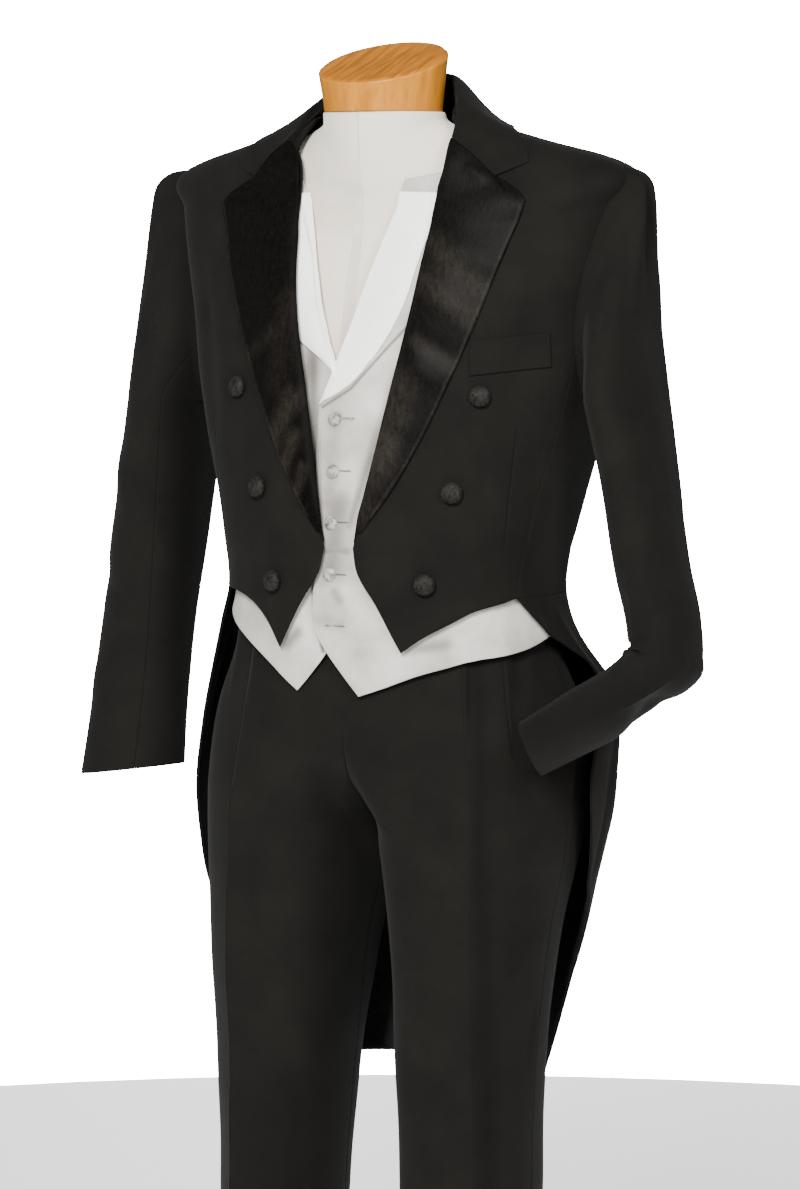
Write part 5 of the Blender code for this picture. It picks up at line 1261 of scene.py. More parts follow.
def leg_panel(side, name, front, finish):
    """One trouser panel, from the side seam to the middle seam and the inseam."""
    heights = finer(LEG_ROWS, T_UP)
    last = np.where(heights <= CROTCH, 180.0, middle_angle(side, heights))
    crease = crease_angle(side, 1.0 if front else -1.0, heights)[:, None]
    share = np.linspace(0, 1, 4 * T_WIDE + 1)[None, :]
    first = crease * (1 - (1 - share) ** CREASE_CROWD)
    second = crease + (last[:, None] - crease) * share**CREASE_CROWD
    angle = np.concatenate([first, second[:, 1:]], 1) * (1 if front else -1)
    tall = heights[:, None] + angle * 0
    outer = leg_point(side, angle, tall)
    along = leg_point(side, angle + LEG_TURN, tall) - leg_point(side, angle - LEG_TURN, tall)
    up = leg_point(side, angle, tall + LEG_STEP) - leg_point(side, angle, tall - LEG_STEP)
    away = unit(np.cross(up, along))
    creases = TROUSER_CREASES[side] if front else TROUSER_BACK_CREASES
    move = creased(outer[..., 0], outer[..., 2], creases) * stilled(outer, ("start", "end"))
    move = move + wander(outer * (side, 1, 1), LIMB_WANDER)
    keep = ease((outer[..., 0] - MIDDLE_FLAT) / MIDDLE_RUN)
    keep = keep * ease((TROUSER_TOP - outer[..., 2]) / TOP_RUN)
    outer = outer + away * (move * keep)[..., None]
    outer[..., 0] = np.maximum(outer[..., 0], 0.0)
    cloth(name, outer, TROUSER_WALL, finish, side, seams=("start", "end", "top"),
          away=away)


def waistband(finish):
    """The trousers' band: a ring round the form's waist, above the panels."""
    angle = np.linspace(0, 360, 168, endpoint=False)[None, :]
    heights = np.linspace(TROUSER_TOP + SEAM, WAISTBAND_TOP, 9)[:, None]
    base = leg_point(LEFT, angle, TROUSER_TOP + 0 * heights, middle=False)
    base[..., 2] = heights + 0 * angle
    centre = base.mean(1, keepdims=True)
    away = unit((base - centre) * (1, 1, 0))
    cloth("trouser_waistband", base, BAND_WALL, finish, ring=True, away=away)


FORM_ROWS = (
    0.868, 0.874, 0.885, 0.930, 0.980, 1.030, 1.080, 1.150, 1.220, 1.300, 1.370, 1.410,
    1.434, 1.460, 1.4745, 1.4862, 1.4995, 1.513, 1.522, 1.532,
)
BASE = Table("radius height", "0 .024, .15 .024, .18 .012, .204 .006, .21 .003, .21 0, 0 0")
DRAWN_IN, ROUND_SHARE = (0.75, 0.4, 0.06), 0.4
NECK_BLOCK = Table("half_wide half_deep up",
    ".0618 .0529 0, .063 .0541 .25, .0664 .0573 .72, .0681 .0589 .95, .0645 .0558 1",
)


def loft(name, rings, finish):
    """A closed solid through rings of equal counts, its ends drawn in to their middles."""
    ends = np.array([rings[0].mean(0), rings[-1].mean(0)])
    low = [rings[0] + (ends[0] - rings[0]) * s for s in DRAWN_IN]
    high = [rings[-1] + (ends[1] - rings[-1]) * s for s in DRAWN_IN[::-1]]
    rings = np.concatenate([low, rings, high])
    points, faces = shell(rings, ends)
    uvs = np.stack([lengths(rings, 1), lengths(rings, 0)], -1).reshape(-1, 2)
    uvs = np.concatenate([uvs, [(0, 0), (0, 0)]])
    return piece_from(name, leaned(points), faces, uvs, [name], finish)


def form_torso(finish):
    """The form's jersey-covered torso, smooth and whole from its flat base to its neck."""
    angle = np.linspace(0, 360, 144, endpoint=False)[None, :]
    heights = finer(FORM_ROWS, 6)[:, None]
    rings = section_point(FORM, angle, heights)
    torso = loft("form_torso", rings, finish)


def form_neck(finish):
    """The wooden neck block: an oval column with its top cut forward and down."""
    turn = np.radians(np.linspace(0, 360, 144, endpoint=False))
    low_z = FORM_ROWS[-1] + SEAM
    place = finer(np.arange(len(NECK_BLOCK.rows)), 6)
    columns = [np.interp(place, np.arange(5), column) for column in NECK_BLOCK.rows.T]
    for column in columns:
        column[1:-1] = (column[:-2] + 2 * column[1:-1] + column[2:]) / 4
    rings = []
    for half_wide, half_deep, share in zip(*columns):
        y = NECK_Y - half_deep * np.cos(turn)
        high_z = NECK_TOP + (y - NECK_Y) * math.tan(NECK_TILT)
        rings.append(np.stack([half_wide * np.sin(turn), y, low_z + (high_z - low_z) * share], -1))
    loft("form_neck", np.array(rings), finish)


def rounded(profile, size=0.0012):
    """A profile of radii and heights with each corner cut into a short round.

    The round is the quadratic curve between a point before and one after the corner.
    """
    profile = np.asarray(profile, float)
    points = [profile[0]]
    t = np.linspace(0, 1, 5)[:, None]
    for before, here, after in zip(profile[:-2], profile[1:-1], profile[2:]):
        back, on = np.linalg.norm(before - here), np.linalg.norm(after - here)
        a = here + (before - here) / back * min(size, ROUND_SHARE * back)
        b = here + (after - here) / on * min(size, ROUND_SHARE * on)
        points.extend((1 - t) ** 2 * a + 2 * t * (1 - t) * here + t**2 * b)
    return [*points, profile[-1]]


def stand(finish):
    """A steel pole up the left trouser leg from a turned round base."""
    top, bottom = FORM_BOTTOM - SEAM, BASE_HIGH + SEAM
    pole = [(0, top), (POLE_WIDE / 2, top), (POLE_WIDE / 2, bottom), (0, bottom)]
    spun("stand_pole", rounded(pole), 64, finish, (POLE_X, POLE_Y, 0))
    spun("stand_base", rounded(BASE.rows, 0.0010), 160, finish)


class Value:
    """A number in a material's nodes: each operation on it adds a Math node."""

    def __init__(self, maker, socket):
        """Keeps the material's maker and the node socket that gives the number."""
        self.maker = maker
        self.socket = socket

    def math(self, operation, *others):
        """A Math node of this value and any others, in order."""
        inputs = dict(enumerate((self, *others)))
        return self.maker.add("ShaderNodeMath", {"operation": operation}, inputs)

    def __add__(self, other):
        return self.math("ADD", other)

    __radd__ = __add__

    def __sub__(self, other):
        return self.math("SUBTRACT", other)

    def __rsub__(self, other):
        """A number less this value: the value's negative and the number."""
        return self * -1.0 + other

    def __mul__(self, other):
        return self.math("MULTIPLY", other)

    __rmul__ = __mul__

    def __truediv__(self, other):
        return self.math("DIVIDE", other)

    def wave(self, wide):
        """A sine that repeats once in this width."""
        return (self * (2 * math.pi / wide)).math("SINE")

    def ridges(self, wide):
        """A sine that repeats once in this width, from 0 to 1."""
        return self.wave(wide) * 0.5 + 0.5

    def size(self):
        """The value without its sign."""
        return self.math("ABSOLUTE")

    def root(self):
        """The square root."""
        return self.math("SQRT")

    def most(self, other):
        """The larger of two values."""
        return self.math("MAXIMUM", other)

    def held(self):
        """Held between 0 and 1."""
        return self.most(0.0).math("MINIMUM", 1.0)

    def soft(self):
        """Held between 0 and 1, and eased at both ends."""
        t = self.held()
        return t * t * (3.0 - 2.0 * t)


class Maker:
    """A material's nodes, all added by one method."""

    def __init__(self, name):
        """A new material with no nodes but its object coordinates and their three parts."""
        self.material = bpy.data.materials.new(name)
        self.material.use_nodes = True
        self.tree = self.material.node_tree
        self.tree.nodes.clear()
        self.place = self.add("ShaderNodeTexCoord", output="Object")
        self.x, self.y, self.z = self.split(self.place)

    def add(self, kind, settings=None, inputs=None, output=0):
        """Adds a node: its settings first, then its sockets' values and links."""
        node = self.tree.nodes.new(kind)
        for key, value in (settings or {}).items():
            setattr(node, key, value)
        for key, value in (inputs or {}).items():
            if isinstance(value, Value):
                self.tree.links.new(value.socket, node.inputs[key])
            else:
                node.inputs[key].default_value = value
        return Value(self, node.outputs[output]) if node.outputs else node

    def split(self, vector):
        """The three parts of a vector."""
        node = self.add("ShaderNodeSeparateXYZ", None, {0: vector}).socket.node
        return [Value(self, socket) for socket in node.outputs]

    def joined(self, x, y, z=0.0):
        """A vector of three parts."""
        return self.add("ShaderNodeCombineXYZ", None, {0: x, 1: y, 2: z})

    def cloth_measures(self):
        """The cloth's own two measures in metres, from its UV map."""
        self.cloth = self.add("ShaderNodeTexCoord", output="UV")
        return self.split(self.cloth)[:2]

    def noise(self, size, detail=2.0, roughness=0.5, vector=None):
        """Soft random spots about this wide, with finer ones in them as detail grows."""
        inputs = {"Vector": vector or self.place, "Scale": 1 / size, "Detail": detail}
        inputs["Roughness"] = roughness
        return self.add("ShaderNodeTexNoise", None, inputs)

    def blend(self, share, first, second):
        """A colour between two, by a share from 0 to 1."""
        colours = [c if isinstance(c, Value) else (*c, 1.0) for c in (first, second)]
        inputs = {0: share, 6: colours[0], 7: colours[1]}
        return self.add("ShaderNodeMix", {"data_type": "RGBA", "clamp_factor": True}, inputs, 2)

    def line(self, a, b, ends, wide):
        """1 on a line between two places, down to 0 at half its width to either side."""
        a0, b0, a1, b1 = ends
        da, db = a1 - a0, b1 - b0
        along = (((a - a0) * da + (b - b0) * db) / (da * da + db * db)).held()
        off_a, off_b = a - a0 - along * da, b - b0 - along * db
        return (1.0 - (off_a * off_a + off_b * off_b).root() / (wide / 2)).held()

    def bump(self, height, far, strength=1.0, under=None):
        """A normal that makes a height from 0 to 1 look this far raised, over another one."""
        inputs = {"Height": height, "Distance": far, "Strength": strength}
        if under is not None:
            inputs["Normal"] = under
        return self.add("ShaderNodeBump", None, inputs)

    def finish(self, colour, roughness, normal=None, **fixed):
        """The one shader of colour, roughness and normal, with fixed values for the rest."""
        inputs = {"Base Color": colour, "Roughness": roughness}
        if normal is not None:
            inputs["Normal"] = normal
        inputs.update({name.replace("_", " "): value for name, value in fixed.items()})
        shader = self.add("ShaderNodeBsdfPrincipled", None, inputs)
        self.add("ShaderNodeOutputMaterial", None, {"Surface": shader})
        return self.material


def strokes(m, rows):
    """The strongest of several soft strokes, each (x0, z0, x1, z1, width, depth)."""
    total = None
    for *ends, wide, deep in rows:
        here = m.line(m.x, m.z, ends, wide).soft() * deep
        total = here if total is None else total.most(here)
    return total


def woollen(name, seam_and_shade_lines=(), shades=()):
    """Black worsted: a fine diagonal twill, a fuzz of fibres, and darkened lines with a dent bumped in.

    The lines, (x0, z0, x1, z1, width, depth) each, are dark sewn seams, and painted shade along pleats
    and beside the lapel's edge; the shades are painted shade, soft darker strokes alike.
    """
    m = Maker(name)
    u, v = m.cloth_measures()
    weave = (u * 0.8 + v).wave(0.0013) * 0.35 + (u - v * 0.35).wave(0.0009) * 0.15 + 0.5
    fuzz = m.noise(0.0016, 3.0, 0.6)
    cloud = m.noise(0.055, 3.0, 0.55)
    tone = (weave * 0.3 + fuzz * 0.6 + (cloud - 0.5) * 0.9).held()
    colour = m.blend(tone, WOOL_DARK, WOOL_LIGHT)
    # Painted shade along the shade strokes
    shade = strokes(m, shades)
    if shade is not None:
        colour = m.blend(shade, colour, SHADED_WOOL)
    seam_and_shade = strokes(m, seam_and_shade_lines)
    normal = m.bump(weave * 0.5 + fuzz * 0.5, 0.00022, 0.8)
    if seam_and_shade is not None:
        # Painted shade along pleats and the lapel's edge, and dark sewn seams: darker colour with a
        # dent bumped in
        colour = m.blend(seam_and_shade * 0.75, colour, (0.003, 0.003, 0.003))
        normal = m.bump(1.0 - seam_and_shade, 0.0012, 0.9, normal)
    return m.finish(colour, 0.72 + fuzz * 0.2, normal, Sheen_Weight=0.017, Sheen_Roughness=0.5,
                    Specular_IOR_Level=0.09)


def black_satin(name, light, dark, sheen_bands=(), rough=0.46, mottle=0.35, base=0.20, patch=0.010,
                shine=0.06):
    """Silk satin: long floats along the cloth, a sheen that runs uneven and mottled.

    The bands, (x0, z0, x1, z1, width, gain) each, are painted sheen: strokes where the tone is raised
    to stand in for highlights on the satin.
    """
    m = Maker(name)
    u, v = m.cloth_measures()
    floats = (u + v * 0.12).ridges(0.0008)
    streak = m.noise(patch, 4.0, 0.6, m.joined(u * 1.8 + v * 0.5, v * 0.9 - u * 0.5))
    fine = m.noise(0.0022, 3.0, 0.6)
    tone = ((streak - 0.5) * 1.6 + (fine - 0.5) * 1.6 + 0.5).held() * base
    # Painted sheen: each band lifts the tone along its stroke
    for *ends, wide, gain in sheen_bands:
        band = m.line(m.x, m.z, ends, wide).soft()
        tone = tone + band * gain * (streak * 1.6 + fine * 0.8 - 0.55)
    colour = m.blend(tone.held(), dark, light)
    normal = m.bump(streak, 0.0011, mottle)
    normal = m.bump(floats * 0.4 + fine * 0.6, 0.00010, 0.6, normal)
    roughness = rough + (streak - 0.5) * 0.16 + fine * 0.05
    return m.finish(colour, roughness, normal, Specular_IOR_Level=shine, Sheen_Weight=0.012,
                    Sheen_Roughness=0.5)


def white_satin(name, light, dark, stitched=0.0, shades=(), slits=(), patch=0.05):
    """White silk satin with a soft sheen and faint ribs, and a line of stitches by its edge.

    shades are painted shadows, soft grey strokes where it lies under the coat; slits are painted shade
    in the cuts of buttonholes.
    """
    m = Maker(name)
    u, v = m.cloth_measures()
    rib = (v + u * 0.05).ridges(0.0011)
    fine = m.noise(0.0020, 3.0, 0.6)
    cloud = m.noise(patch, 3.0, 0.55)
    tone = ((cloud - 0.32) * 2.1 + (fine - 0.5) * 0.35).held()
    colour = m.blend(tone, dark, light)
    normal = m.bump(rib * 0.5 + fine * 0.5, 0.00010, 0.6)
    for rows, tint in ((shades, SHADED_WHITE), (slits, SLIT_SHADOW)):
        share = strokes(m, rows)
        if share is not None:
            colour = m.blend(share, colour, tint)
    if stitched:
        near = (1.0 - (u - stitched).size() / 0.0007).held()
        dash = (v.wave(0.0034) * 2.0 + 0.6).held()
        colour = m.blend(near * dash * 0.30, colour, (0.45, 0.42, 0.38))
        normal = m.bump(1.0 - near * dash, 0.0006, 0.8, normal)
    return m.finish(colour, 0.44 + (cloud - 0.5) * 0.15, normal, Specular_IOR_Level=0.45,
                    Sheen_Weight=0.15, Sheen_Roughness=0.4)


def jersey(name):
    """Cream jersey stretched on the form: ribs of small knitted loops."""
    m = Maker(name)
    u, v = m.cloth_measures()
    course = (v + u.wave(0.0021) * 0.0003).ridges(0.0017)
    fuzz = m.noise(0.003, 3.0, 0.6)
    knit = u.ridges(0.0021) * 0.6 + course * 0.4
    colour = m.blend((knit * 0.5 + fuzz * 0.5).held(), (0.62, 0.56, 0.46), (0.76, 0.70, 0.60))
    normal = m.bump(knit * 0.7 + fuzz * 0.3, 0.0004, 0.7)
    return m.finish(colour, 0.85, normal, Sheen_Weight=0.3, Sheen_Roughness=0.5)


def varnished_wood(name):
    """Pale beech under varnish: upright grain, darker streaks on its slanted top."""
    m = Maker(name)
    grain_place = m.joined(m.x, m.y, m.z * 0.06)
    rings = m.noise(0.010, 5.0, 0.6, grain_place)
    pores = m.noise(0.0018, 4.0, 0.6, grain_place)
    grain = (rings * 0.7 + pores * 0.3).held()
    side = m.blend(((grain - 0.35) * 3.0).held(), (0.32, 0.112, 0.0048), (0.50, 0.200, 0.016))
    top_place = m.joined(m.x, m.y * 0.10, m.z * 0.10)
    streaks = m.noise(0.006, 4.0, 0.6, top_place)
    top = m.blend(((streaks - 0.38) * 3.4).held(), (0.24, 0.076, 0.0034), (0.42, 0.150, 0.010))
    facing = m.split(m.add("ShaderNodeNewGeometry", output="Normal"))[2]
    colour = m.blend(((facing - 0.55) * 4.0).held(), side, top)
    normal = m.bump(grain, 0.0003, 0.5)
    return m.finish(colour, 0.40 + grain * 0.1, normal, Coat_Weight=0.10, Coat_Roughness=0.25,
                    Specular_IOR_Level=0.2)


def brushed_steel(name):
    """Brushed nickel-plated steel: fine rings round the axis, and faint smears."""
    m = Maker(name)
    far = (m.x * m.x + m.y * m.y).root()
    rings = m.noise(0.0016, 3.0, 0.7, m.joined(far, m.z))
    smear = m.noise(0.07, 3.0, 0.6)
    colour = m.blend((rings * 0.5 + smear * 0.5).held(), (0.42, 0.41, 0.39), (0.62, 0.61, 0.59))
    normal = m.bump(rings, 0.00015, 0.4)
    return m.finish(colour, 0.26 + smear * 0.18, normal, Metallic=1.0)


# On the fronts: x from the middle, z
FRONT_CREASES = {
    LEFT: folds("""
        190 1350 176 1150 -4 20 20 4
        170 1430 156 1235 1.8 30 26 4
        199 1400 185 1290 -1.6 12 14 -3
        100 1180 170 1135 1 14 16 2
        108 1090 168 1075 -1.2 10 14 -2
        150 1210 148 1120 -.9 6 8 0
        60 1045 100 1100 .9 12 16 3
    """),
    RIGHT: folds("""
        188 1350 174 1180 -3.6 18 18 4
        165 1420 156 1230 1.6 28 26 3
        190 1395 178 1310 -1.4 11 13 -3
        95 1170 165 1150 .9 13 16 2
        112 1100 166 1070 -1.2 11 13 -2
        50 1040 90 1105 .8 12 15 3
    """),
}
LAPEL_CREASES = {
    LEFT: folds("""
        95 1410 160 1375 2.2 12 18 2
        82 1360 142 1318 1.8 13 16 -2
        74 1318 128 1285 -1.8 10 12 2
        70 1290 120 1258 1.4 10 12 2
        116 1480 138 1462 1.2 5 6 1
        50 1230 90 1215 .8 10 12 1
        36 1165 62 1150 .6 8 10 1
    """),
    RIGHT: folds("""
        70 1330 128 1300 1.6 14 18 2
        60 1270 112 1250 1.4 12 14 -2
        54 1232 86 1208 -1.6 6 8 2
        48 1205 72 1176 1.4 5 6 -2
        40 1180 60 1150 -1.4 5 6 2
        34 1160 48 1128 1.2 4 5 1
        90 1440 140 1420 1 14 18 1
    """),
}
# On the side bodies: y, z
SIDE_CREASES = folds("""
    -20 1220 -10 1075 -2.2 12 14 3
    30 1230 34 1080 1.8 14 16 -3
    -40 1110 60 1090 -1.4 10 14 4
    64 1250 60 1120 -1.4 10 12 2
""")
# On the back panels and the tails behind: x, z
BACK_CREASES = {
    LEFT: folds("""
        60 1300 44 1060 -2.6 18 22 4
        110 1420 100 1260 2.4 26 30 -6
        170 1400 150 1250 -2.6 12 16 4
        20 1110 100 1090 -1.6 9 12 3
        34 1020 52 600 3.6 16 18 6
        72 1010 82 660 -3 10 14 4
        12 960 22 560 -2.2 10 12 -3
    """),
    RIGHT: folds("""
        56 1290 46 1070 -2.4 18 20 5
        106 1410 98 1250 2.2 28 28 -5
        166 1390 148 1260 -2.8 13 15 4
        30 1118 110 1100 -1.4 10 11 2
        40 1015 46 640 3.2 15 20 -5
        78 1000 90 700 -2.8 12 12 4
        14 900 18 550 -2 9 12 3
    """),
}
# On the tails' sides: y, z
SKIRT_CREASES = {
    LEFT: folds("""
        20 1030 30 800 4 8 11 4
        48 1020 62 640 -4.4 10 13 -5
        78 1010 90 600 4.2 12 14 5
        -20 1040 4 950 4 6 9 3
        -46 1044 -30 985 -3 5 7 2
        4 900 12 740 -3.4 6 8 3
        100 1000 112 700 -2.6 10 12 3
    """),
    RIGHT: folds("""
        0 1035 10 780 3.4 10 12 4
        34 1020 50 660 -3.6 11 13 -4
        68 1010 84 600 3.6 12 15 5
        -40 1040 -34 860 -2.8 9 10 3
        98 990 108 680 -2.6 10 12 3
    """),
}
# On the sleeves: metres round from the top, and metres down from the armhole
SLEEVE_CREASES = {
    LEFT: folds("""
        20 330 120 430 3 12 14 6
        78 452 175 462 -3.6 6 7 4
        70 474 180 478 4 7 7 -2
        80 492 178 492 -4.4 6 6 2
        84 510 170 506 3.2 6 7 -3
        -20 500 60 470 2.2 12 14 4
        -40 180 10 340 2.2 18 22 8
        60 90 74 230 -1.8 10 14 4
        10 560 100 610 -1.8 12 14 4
        -60 478 10 474 4 8 10 0
        -80 532 30 525 -19 26 30 0
        -34 120 -30 330 4.4 70 60 0
        -90 300 -40 450 -2.4 14 16 -4
    """),
    RIGHT: folds("""
        10 300 110 400 2.6 16 18 6
        0 420 100 490 -2.2 12 16 5
        60 110 80 270 -1.8 12 14 4
        110 380 200 390 -2.6 8 10 4
        110 410 200 425 2.4 9 10 -3
        -80 250 -30 460 -2.4 16 18 5
        20 540 100 600 1.8 16 18 4
    """),
}
VEST_CREASES = {
    LEFT: folds("""
        4 1226 90 1262 -.7 6 9 3
        6 1174 80 1190 .6 8 10 2
        6 1123 90 1118 -.6 8 10 2
        60 975 150 1010 .8 8 10 2
        40 1060 120 1020 .6 12 12 2
    """),
    RIGHT: folds("""
        10 1180 70 1200 -.7 7 9 2
        10 1120 60 1110 .6 8 9 2
        50 985 110 1025 .8 8 10 2
    """),
}
VEST_LAPEL_CREASES = {
    LEFT: folds("30 1370 74 1362 .6 12 16 2"),
    RIGHT: folds("""
        4 1306 30 1296 1.2 3 5 1
        2 1320 36 1316 -1 4 5 1
        10 1340 50 1350 .6 10 12 1
    """),
}
# On the trousers: x from the middle, z
TROUSER_CREASES = {
    LEFT: folds("""
        119.5 1046 134.5 905 3.4 16 1.2 0
        152 1046 178.5 868 3.6 14 1.4 2
        160 1000 178 945 -3 4 5 1
        168 1005 186 948 2.8 3 4 1
        174 995 190 930 -3 4 4 1
        186 720 148 600 4.4 20 12 4
        190 640 156 540 -3 12 14 3
        33 890 56 840 -2.4 6 8 -6
        4 900 60 790 2.6 10 12 4
        90 700 70 560 1.8 14 16 3
        60 520 150 490 -2 12 16 4
        70 180 150 130 -2.6 12 14 4
        60 110 150 80 2.6 10 12 -3
    """),
    RIGHT: folds("""
        114 830 102 640 -3.4 7 9 2
        85 960 70 700 2.4 20 22 4
        23 850 11 735 -4.6 6 8 2
        42 860 34 760 2.4 8 8 2
        76 700 30 612 -3.6 12 15 5
        100 660 46 560 2.6 14 16 4
        124 560 70 480 -2.2 14 18 4
        7 985 30 870 2 8 12 3
        108 1046 118 930 2.6 10 1.4 0
        145 1046 156 930 2.4 10 1.4 0
        70 170 150 120 -2.4 12 14 4
        60 100 150 76 2.4 10 12 -3
    """),
}
TROUSER_BACK_CREASES = folds("""
    10 850 90 790 -4.2 10 14 4
    16 820 120 750 3.6 12 14 3
    20 790 100 715 -3.2 10 14 3
    60 560 150 520 -2.8 12 16 4
    60 500 150 480 2.6 12 14 -3
    70 160 150 110 -2.6 12 14 4
    60 980 100 900 2.4 18 20 3
""")


def light(name, place, aim, size, watts, glints):
    """A soft box: a lamp at one place, turned to another; without glints it lights softly only."""
    lamp = bpy.data.lights.new(name, "AREA")
    lamp.shape = "RECTANGLE"
    lamp.size, lamp.size_y = size
    lamp.energy = watts
    box = bpy.data.objects.new(name, lamp)
    box.visible_glossy = glints
    looks.objects.link(box)
    box.location = place
    box.rotation_euler = (Vector(aim) - Vector(place)).to_track_quat("-Z", "Y").to_euler()


def stage_piece(name, points, faces, finish):
    """A piece of the room, which is no part of the object."""
    made = shape(name, points, faces, finish)
    return made


def studio():
    """A pale floor, a bright round backdrop seen only by the camera, and soft boxes."""
    m = Maker("pale_floor")
    speck = m.noise(0.02, 3.0, 0.6)
    m.finish(m.blend(speck, (0.86, 0.86, 0.85), (0.90, 0.90, 0.89)), 0.75, Specular_IOR_Level=0.2,
             Emission_Color=(1.0, 1.0, 1.0, 1.0), Emission_Strength=0.45)
    turn = np.linspace(0, 2 * np.pi, 96, endpoint=False)
    ring = np.stack([np.cos(turn) * FLOOR_FAR, np.sin(turn) * FLOOR_FAR, 0 * turn], -1)
    floor = np.concatenate([[(0, 0, 0)], ring]) - UP * FLOOR_DOWN
    stage_piece("floor", floor, [(0, 1 + i, 1 + (i + 1) % 96) for i in range(96)], m.material)
    glow = Maker("backdrop_white")
    shine = glow.add("ShaderNodeEmission", None, {"Strength": BACKDROP_GLOW})
    glow.add("ShaderNodeOutputMaterial", None, {"Surface": shine})
    angle, rise = np.meshgrid(turn, np.linspace(-0.5 * np.pi, 0.5 * np.pi, 49)[1:-1])
    rings = np.stack([np.cos(rise) * np.cos(angle), np.cos(rise) * np.sin(angle), np.sin(rise)], -1)
    points, faces = shell(rings * BACKDROP_FAR, [-UP * BACKDROP_FAR, UP * BACKDROP_FAR])
    backdrop = stage_piece("backdrop", points, faces, glow.material)
    for ray in ("diffuse", "glossy", "transmission", "volume_scatter", "shadow"):
        setattr(backdrop, f"visible_{ray}", False)
    world = bpy.data.worlds.new("soft_room")
    world.use_nodes = True
    colour, strength = world.node_tree.nodes["Background"].inputs[:2]
    colour.default_value, strength.default_value = (1.0, 0.985, 0.96, 1.0), ROOM_GLOW
    bpy.context.scene.world = world
    for row in SOFT_BOXES:
        light(*row)


# The camera of the photograph: its turn, rise, distance, and pixels to a unit of slope
TURN, RISE, AWAY, SLOPE, FRAME_HIGH = math.radians(29.0), math.radians(5.0), 4.2, 4078.0, 1189.0
AIM_ASIDE, AIM_HIGH = -0.006, 1.04


def camera():
    """The camera of the photograph, at its distance along its own direction."""
    lens = bpy.data.cameras.new("camera")
    lens.sensor_width = 36.0
    lens.lens = 36.0 * SLOPE / FRAME_HIGH
    eye = bpy.data.objects.new("camera", lens)
    looks.objects.link(eye)
    c, s = math.cos(TURN), math.sin(TURN)
    target = Vector((AIM_ASIDE * c, AIM_ASIDE * s, AIM_HIGH))
    back = Vector((s * math.cos(RISE), -c * math.cos(RISE), math.sin(RISE)))
    eye.location = target + back * AWAY
    eye.rotation_euler = back.to_track_quat("Z", "Y").to_euler()
    bpy.context.scene.camera = eye


BACKDROP_GLOW, ROOM_GLOW = 30.0, 0.16
FLOOR_FAR, FLOOR_DOWN, BACKDROP_FAR = 2.6, 0.0005, 40.0
SOFT_BOXES = (
    ("key", (1.0, -3.6, 3.0), (0.0, 0.0, 1.30), (1.0, 1.2), 400.0, True),
    ("fill", (-3.4, -2.2, 2.1), (0.0, 0.0, 1.3), (1.6, 2.0), 42.0, True),
    ("side", (3.4, -2.4, 2.7), (0.0, 0.0, 1.4), (1.2, 1.8), 150.0, True),
    ("back", (-1.5, 3.5, 2.4), (0.0, 0.0, 1.1), (2.0, 2.0), 150.0, False),
    ("top", (0.0, -0.6, 4.4), (0.0, 0.0, 1.0), (2.4, 2.4), 22.0, False),
)

WOOL_LIGHT, WOOL_DARK = (0.0074, 0.0067, 0.0052), (0.0016, 0.0015, 0.0012)
SATIN_LIGHT, SATIN_DARK = (0.0150, 0.0125, 0.0096), (0.0007, 0.0006, 0.0005)
LINING_LIGHT = (0.0090, 0.0085, 0.0078)
BUTTON_LIGHT = (0.0260, 0.0235, 0.0205)
# Painted sheen on each lapel's satin: strokes of lighter tone where its highlights fall, x0 z0 x1 z1
# width gain
SATIN_SHEEN_BANDS = {
    LEFT: stroke_rows("""
        .09 1.4 .145 1.35 .044 .72, .085 1.365 .135 1.325 .044 .7, .078 1.305 .115 1.28 .026 .6,
        .065 1.26 .05 1.19 .06 .8, .052 1.2 .03 1.13 .05 .6
    """),
    RIGHT: stroke_rows("""
        -.056 1.245 -.078 1.205 .04 .95, -.05 1.208 -.064 1.174 .03 .9,
        -.038 1.176 -.05 1.14 .024 .8, -.07 1.34 -.075 1.26 .05 .28, -.085 1.31 -.115 1.29 .03 .3
    """),
}
WHITE_LIGHT, WHITE_DARK = (0.60, 0.565, 0.515), (0.34, 0.315, 0.28)
# Colours of the painted shadows on the waistcoat, and of the painted shade in its buttonholes' slits
SHADED_WHITE, SLIT_SHADOW = (0.040, 0.038, 0.034), (0.06, 0.05, 0.045)
# Painted shadow where the coat and the waistcoat's own edge keep the light off it: x0 z0 x1 z1 width
# depth
VEST_SHADES = stroke_rows("""
    -.044 1.285 -.04 1.23 .026 .7, -.04 1.23 -.0331 1.1838 .024 .75,
    -.0331 1.1838 -.0239 1.1265 .024 .8, -.0176 1.0938 .0099 1.0948 .022 .65,
    -.0464 1.0109 -.06 .998 .022 .6, .0784 .9984 .1129 1.0039 .02 .5,
    -.0013 1.0535 .0046 1.0457 .02 .45, .056 1.27 .033 1.19 .022 .5, .033 1.19 .012 1.12 .02 .6,
    -.004 1.08 0 1.14 .06 .62, -.027 1.237 .0038 1.2555 .006 .75, .0038 1.2555 .045 1.3 .006 .75,
    .045 1.3 .077 1.3343 .006 .75, -.01 1.15 -.012 1.22 .034 .35, -.05 1.25 -.042 1.33 .03 .6,
    -.02 1.025 .005 1.02 .026 .3
""")
# Painted shadow on the right front along the edge of the left front over it
VEST_EDGE_SHADES = stroke_rows("""
    -.03 1.2369 -.029 1.1821 .008 .95, -.029 1.1821 -.0256 1.1265 .008 .95,
    -.0256 1.1265 -.03 1.0631 .008 .85, -.03 1.0631 -.025 1.0245 .008 .85,
    -.025 1.0245 -.0165 .9933 .008 .85
""")
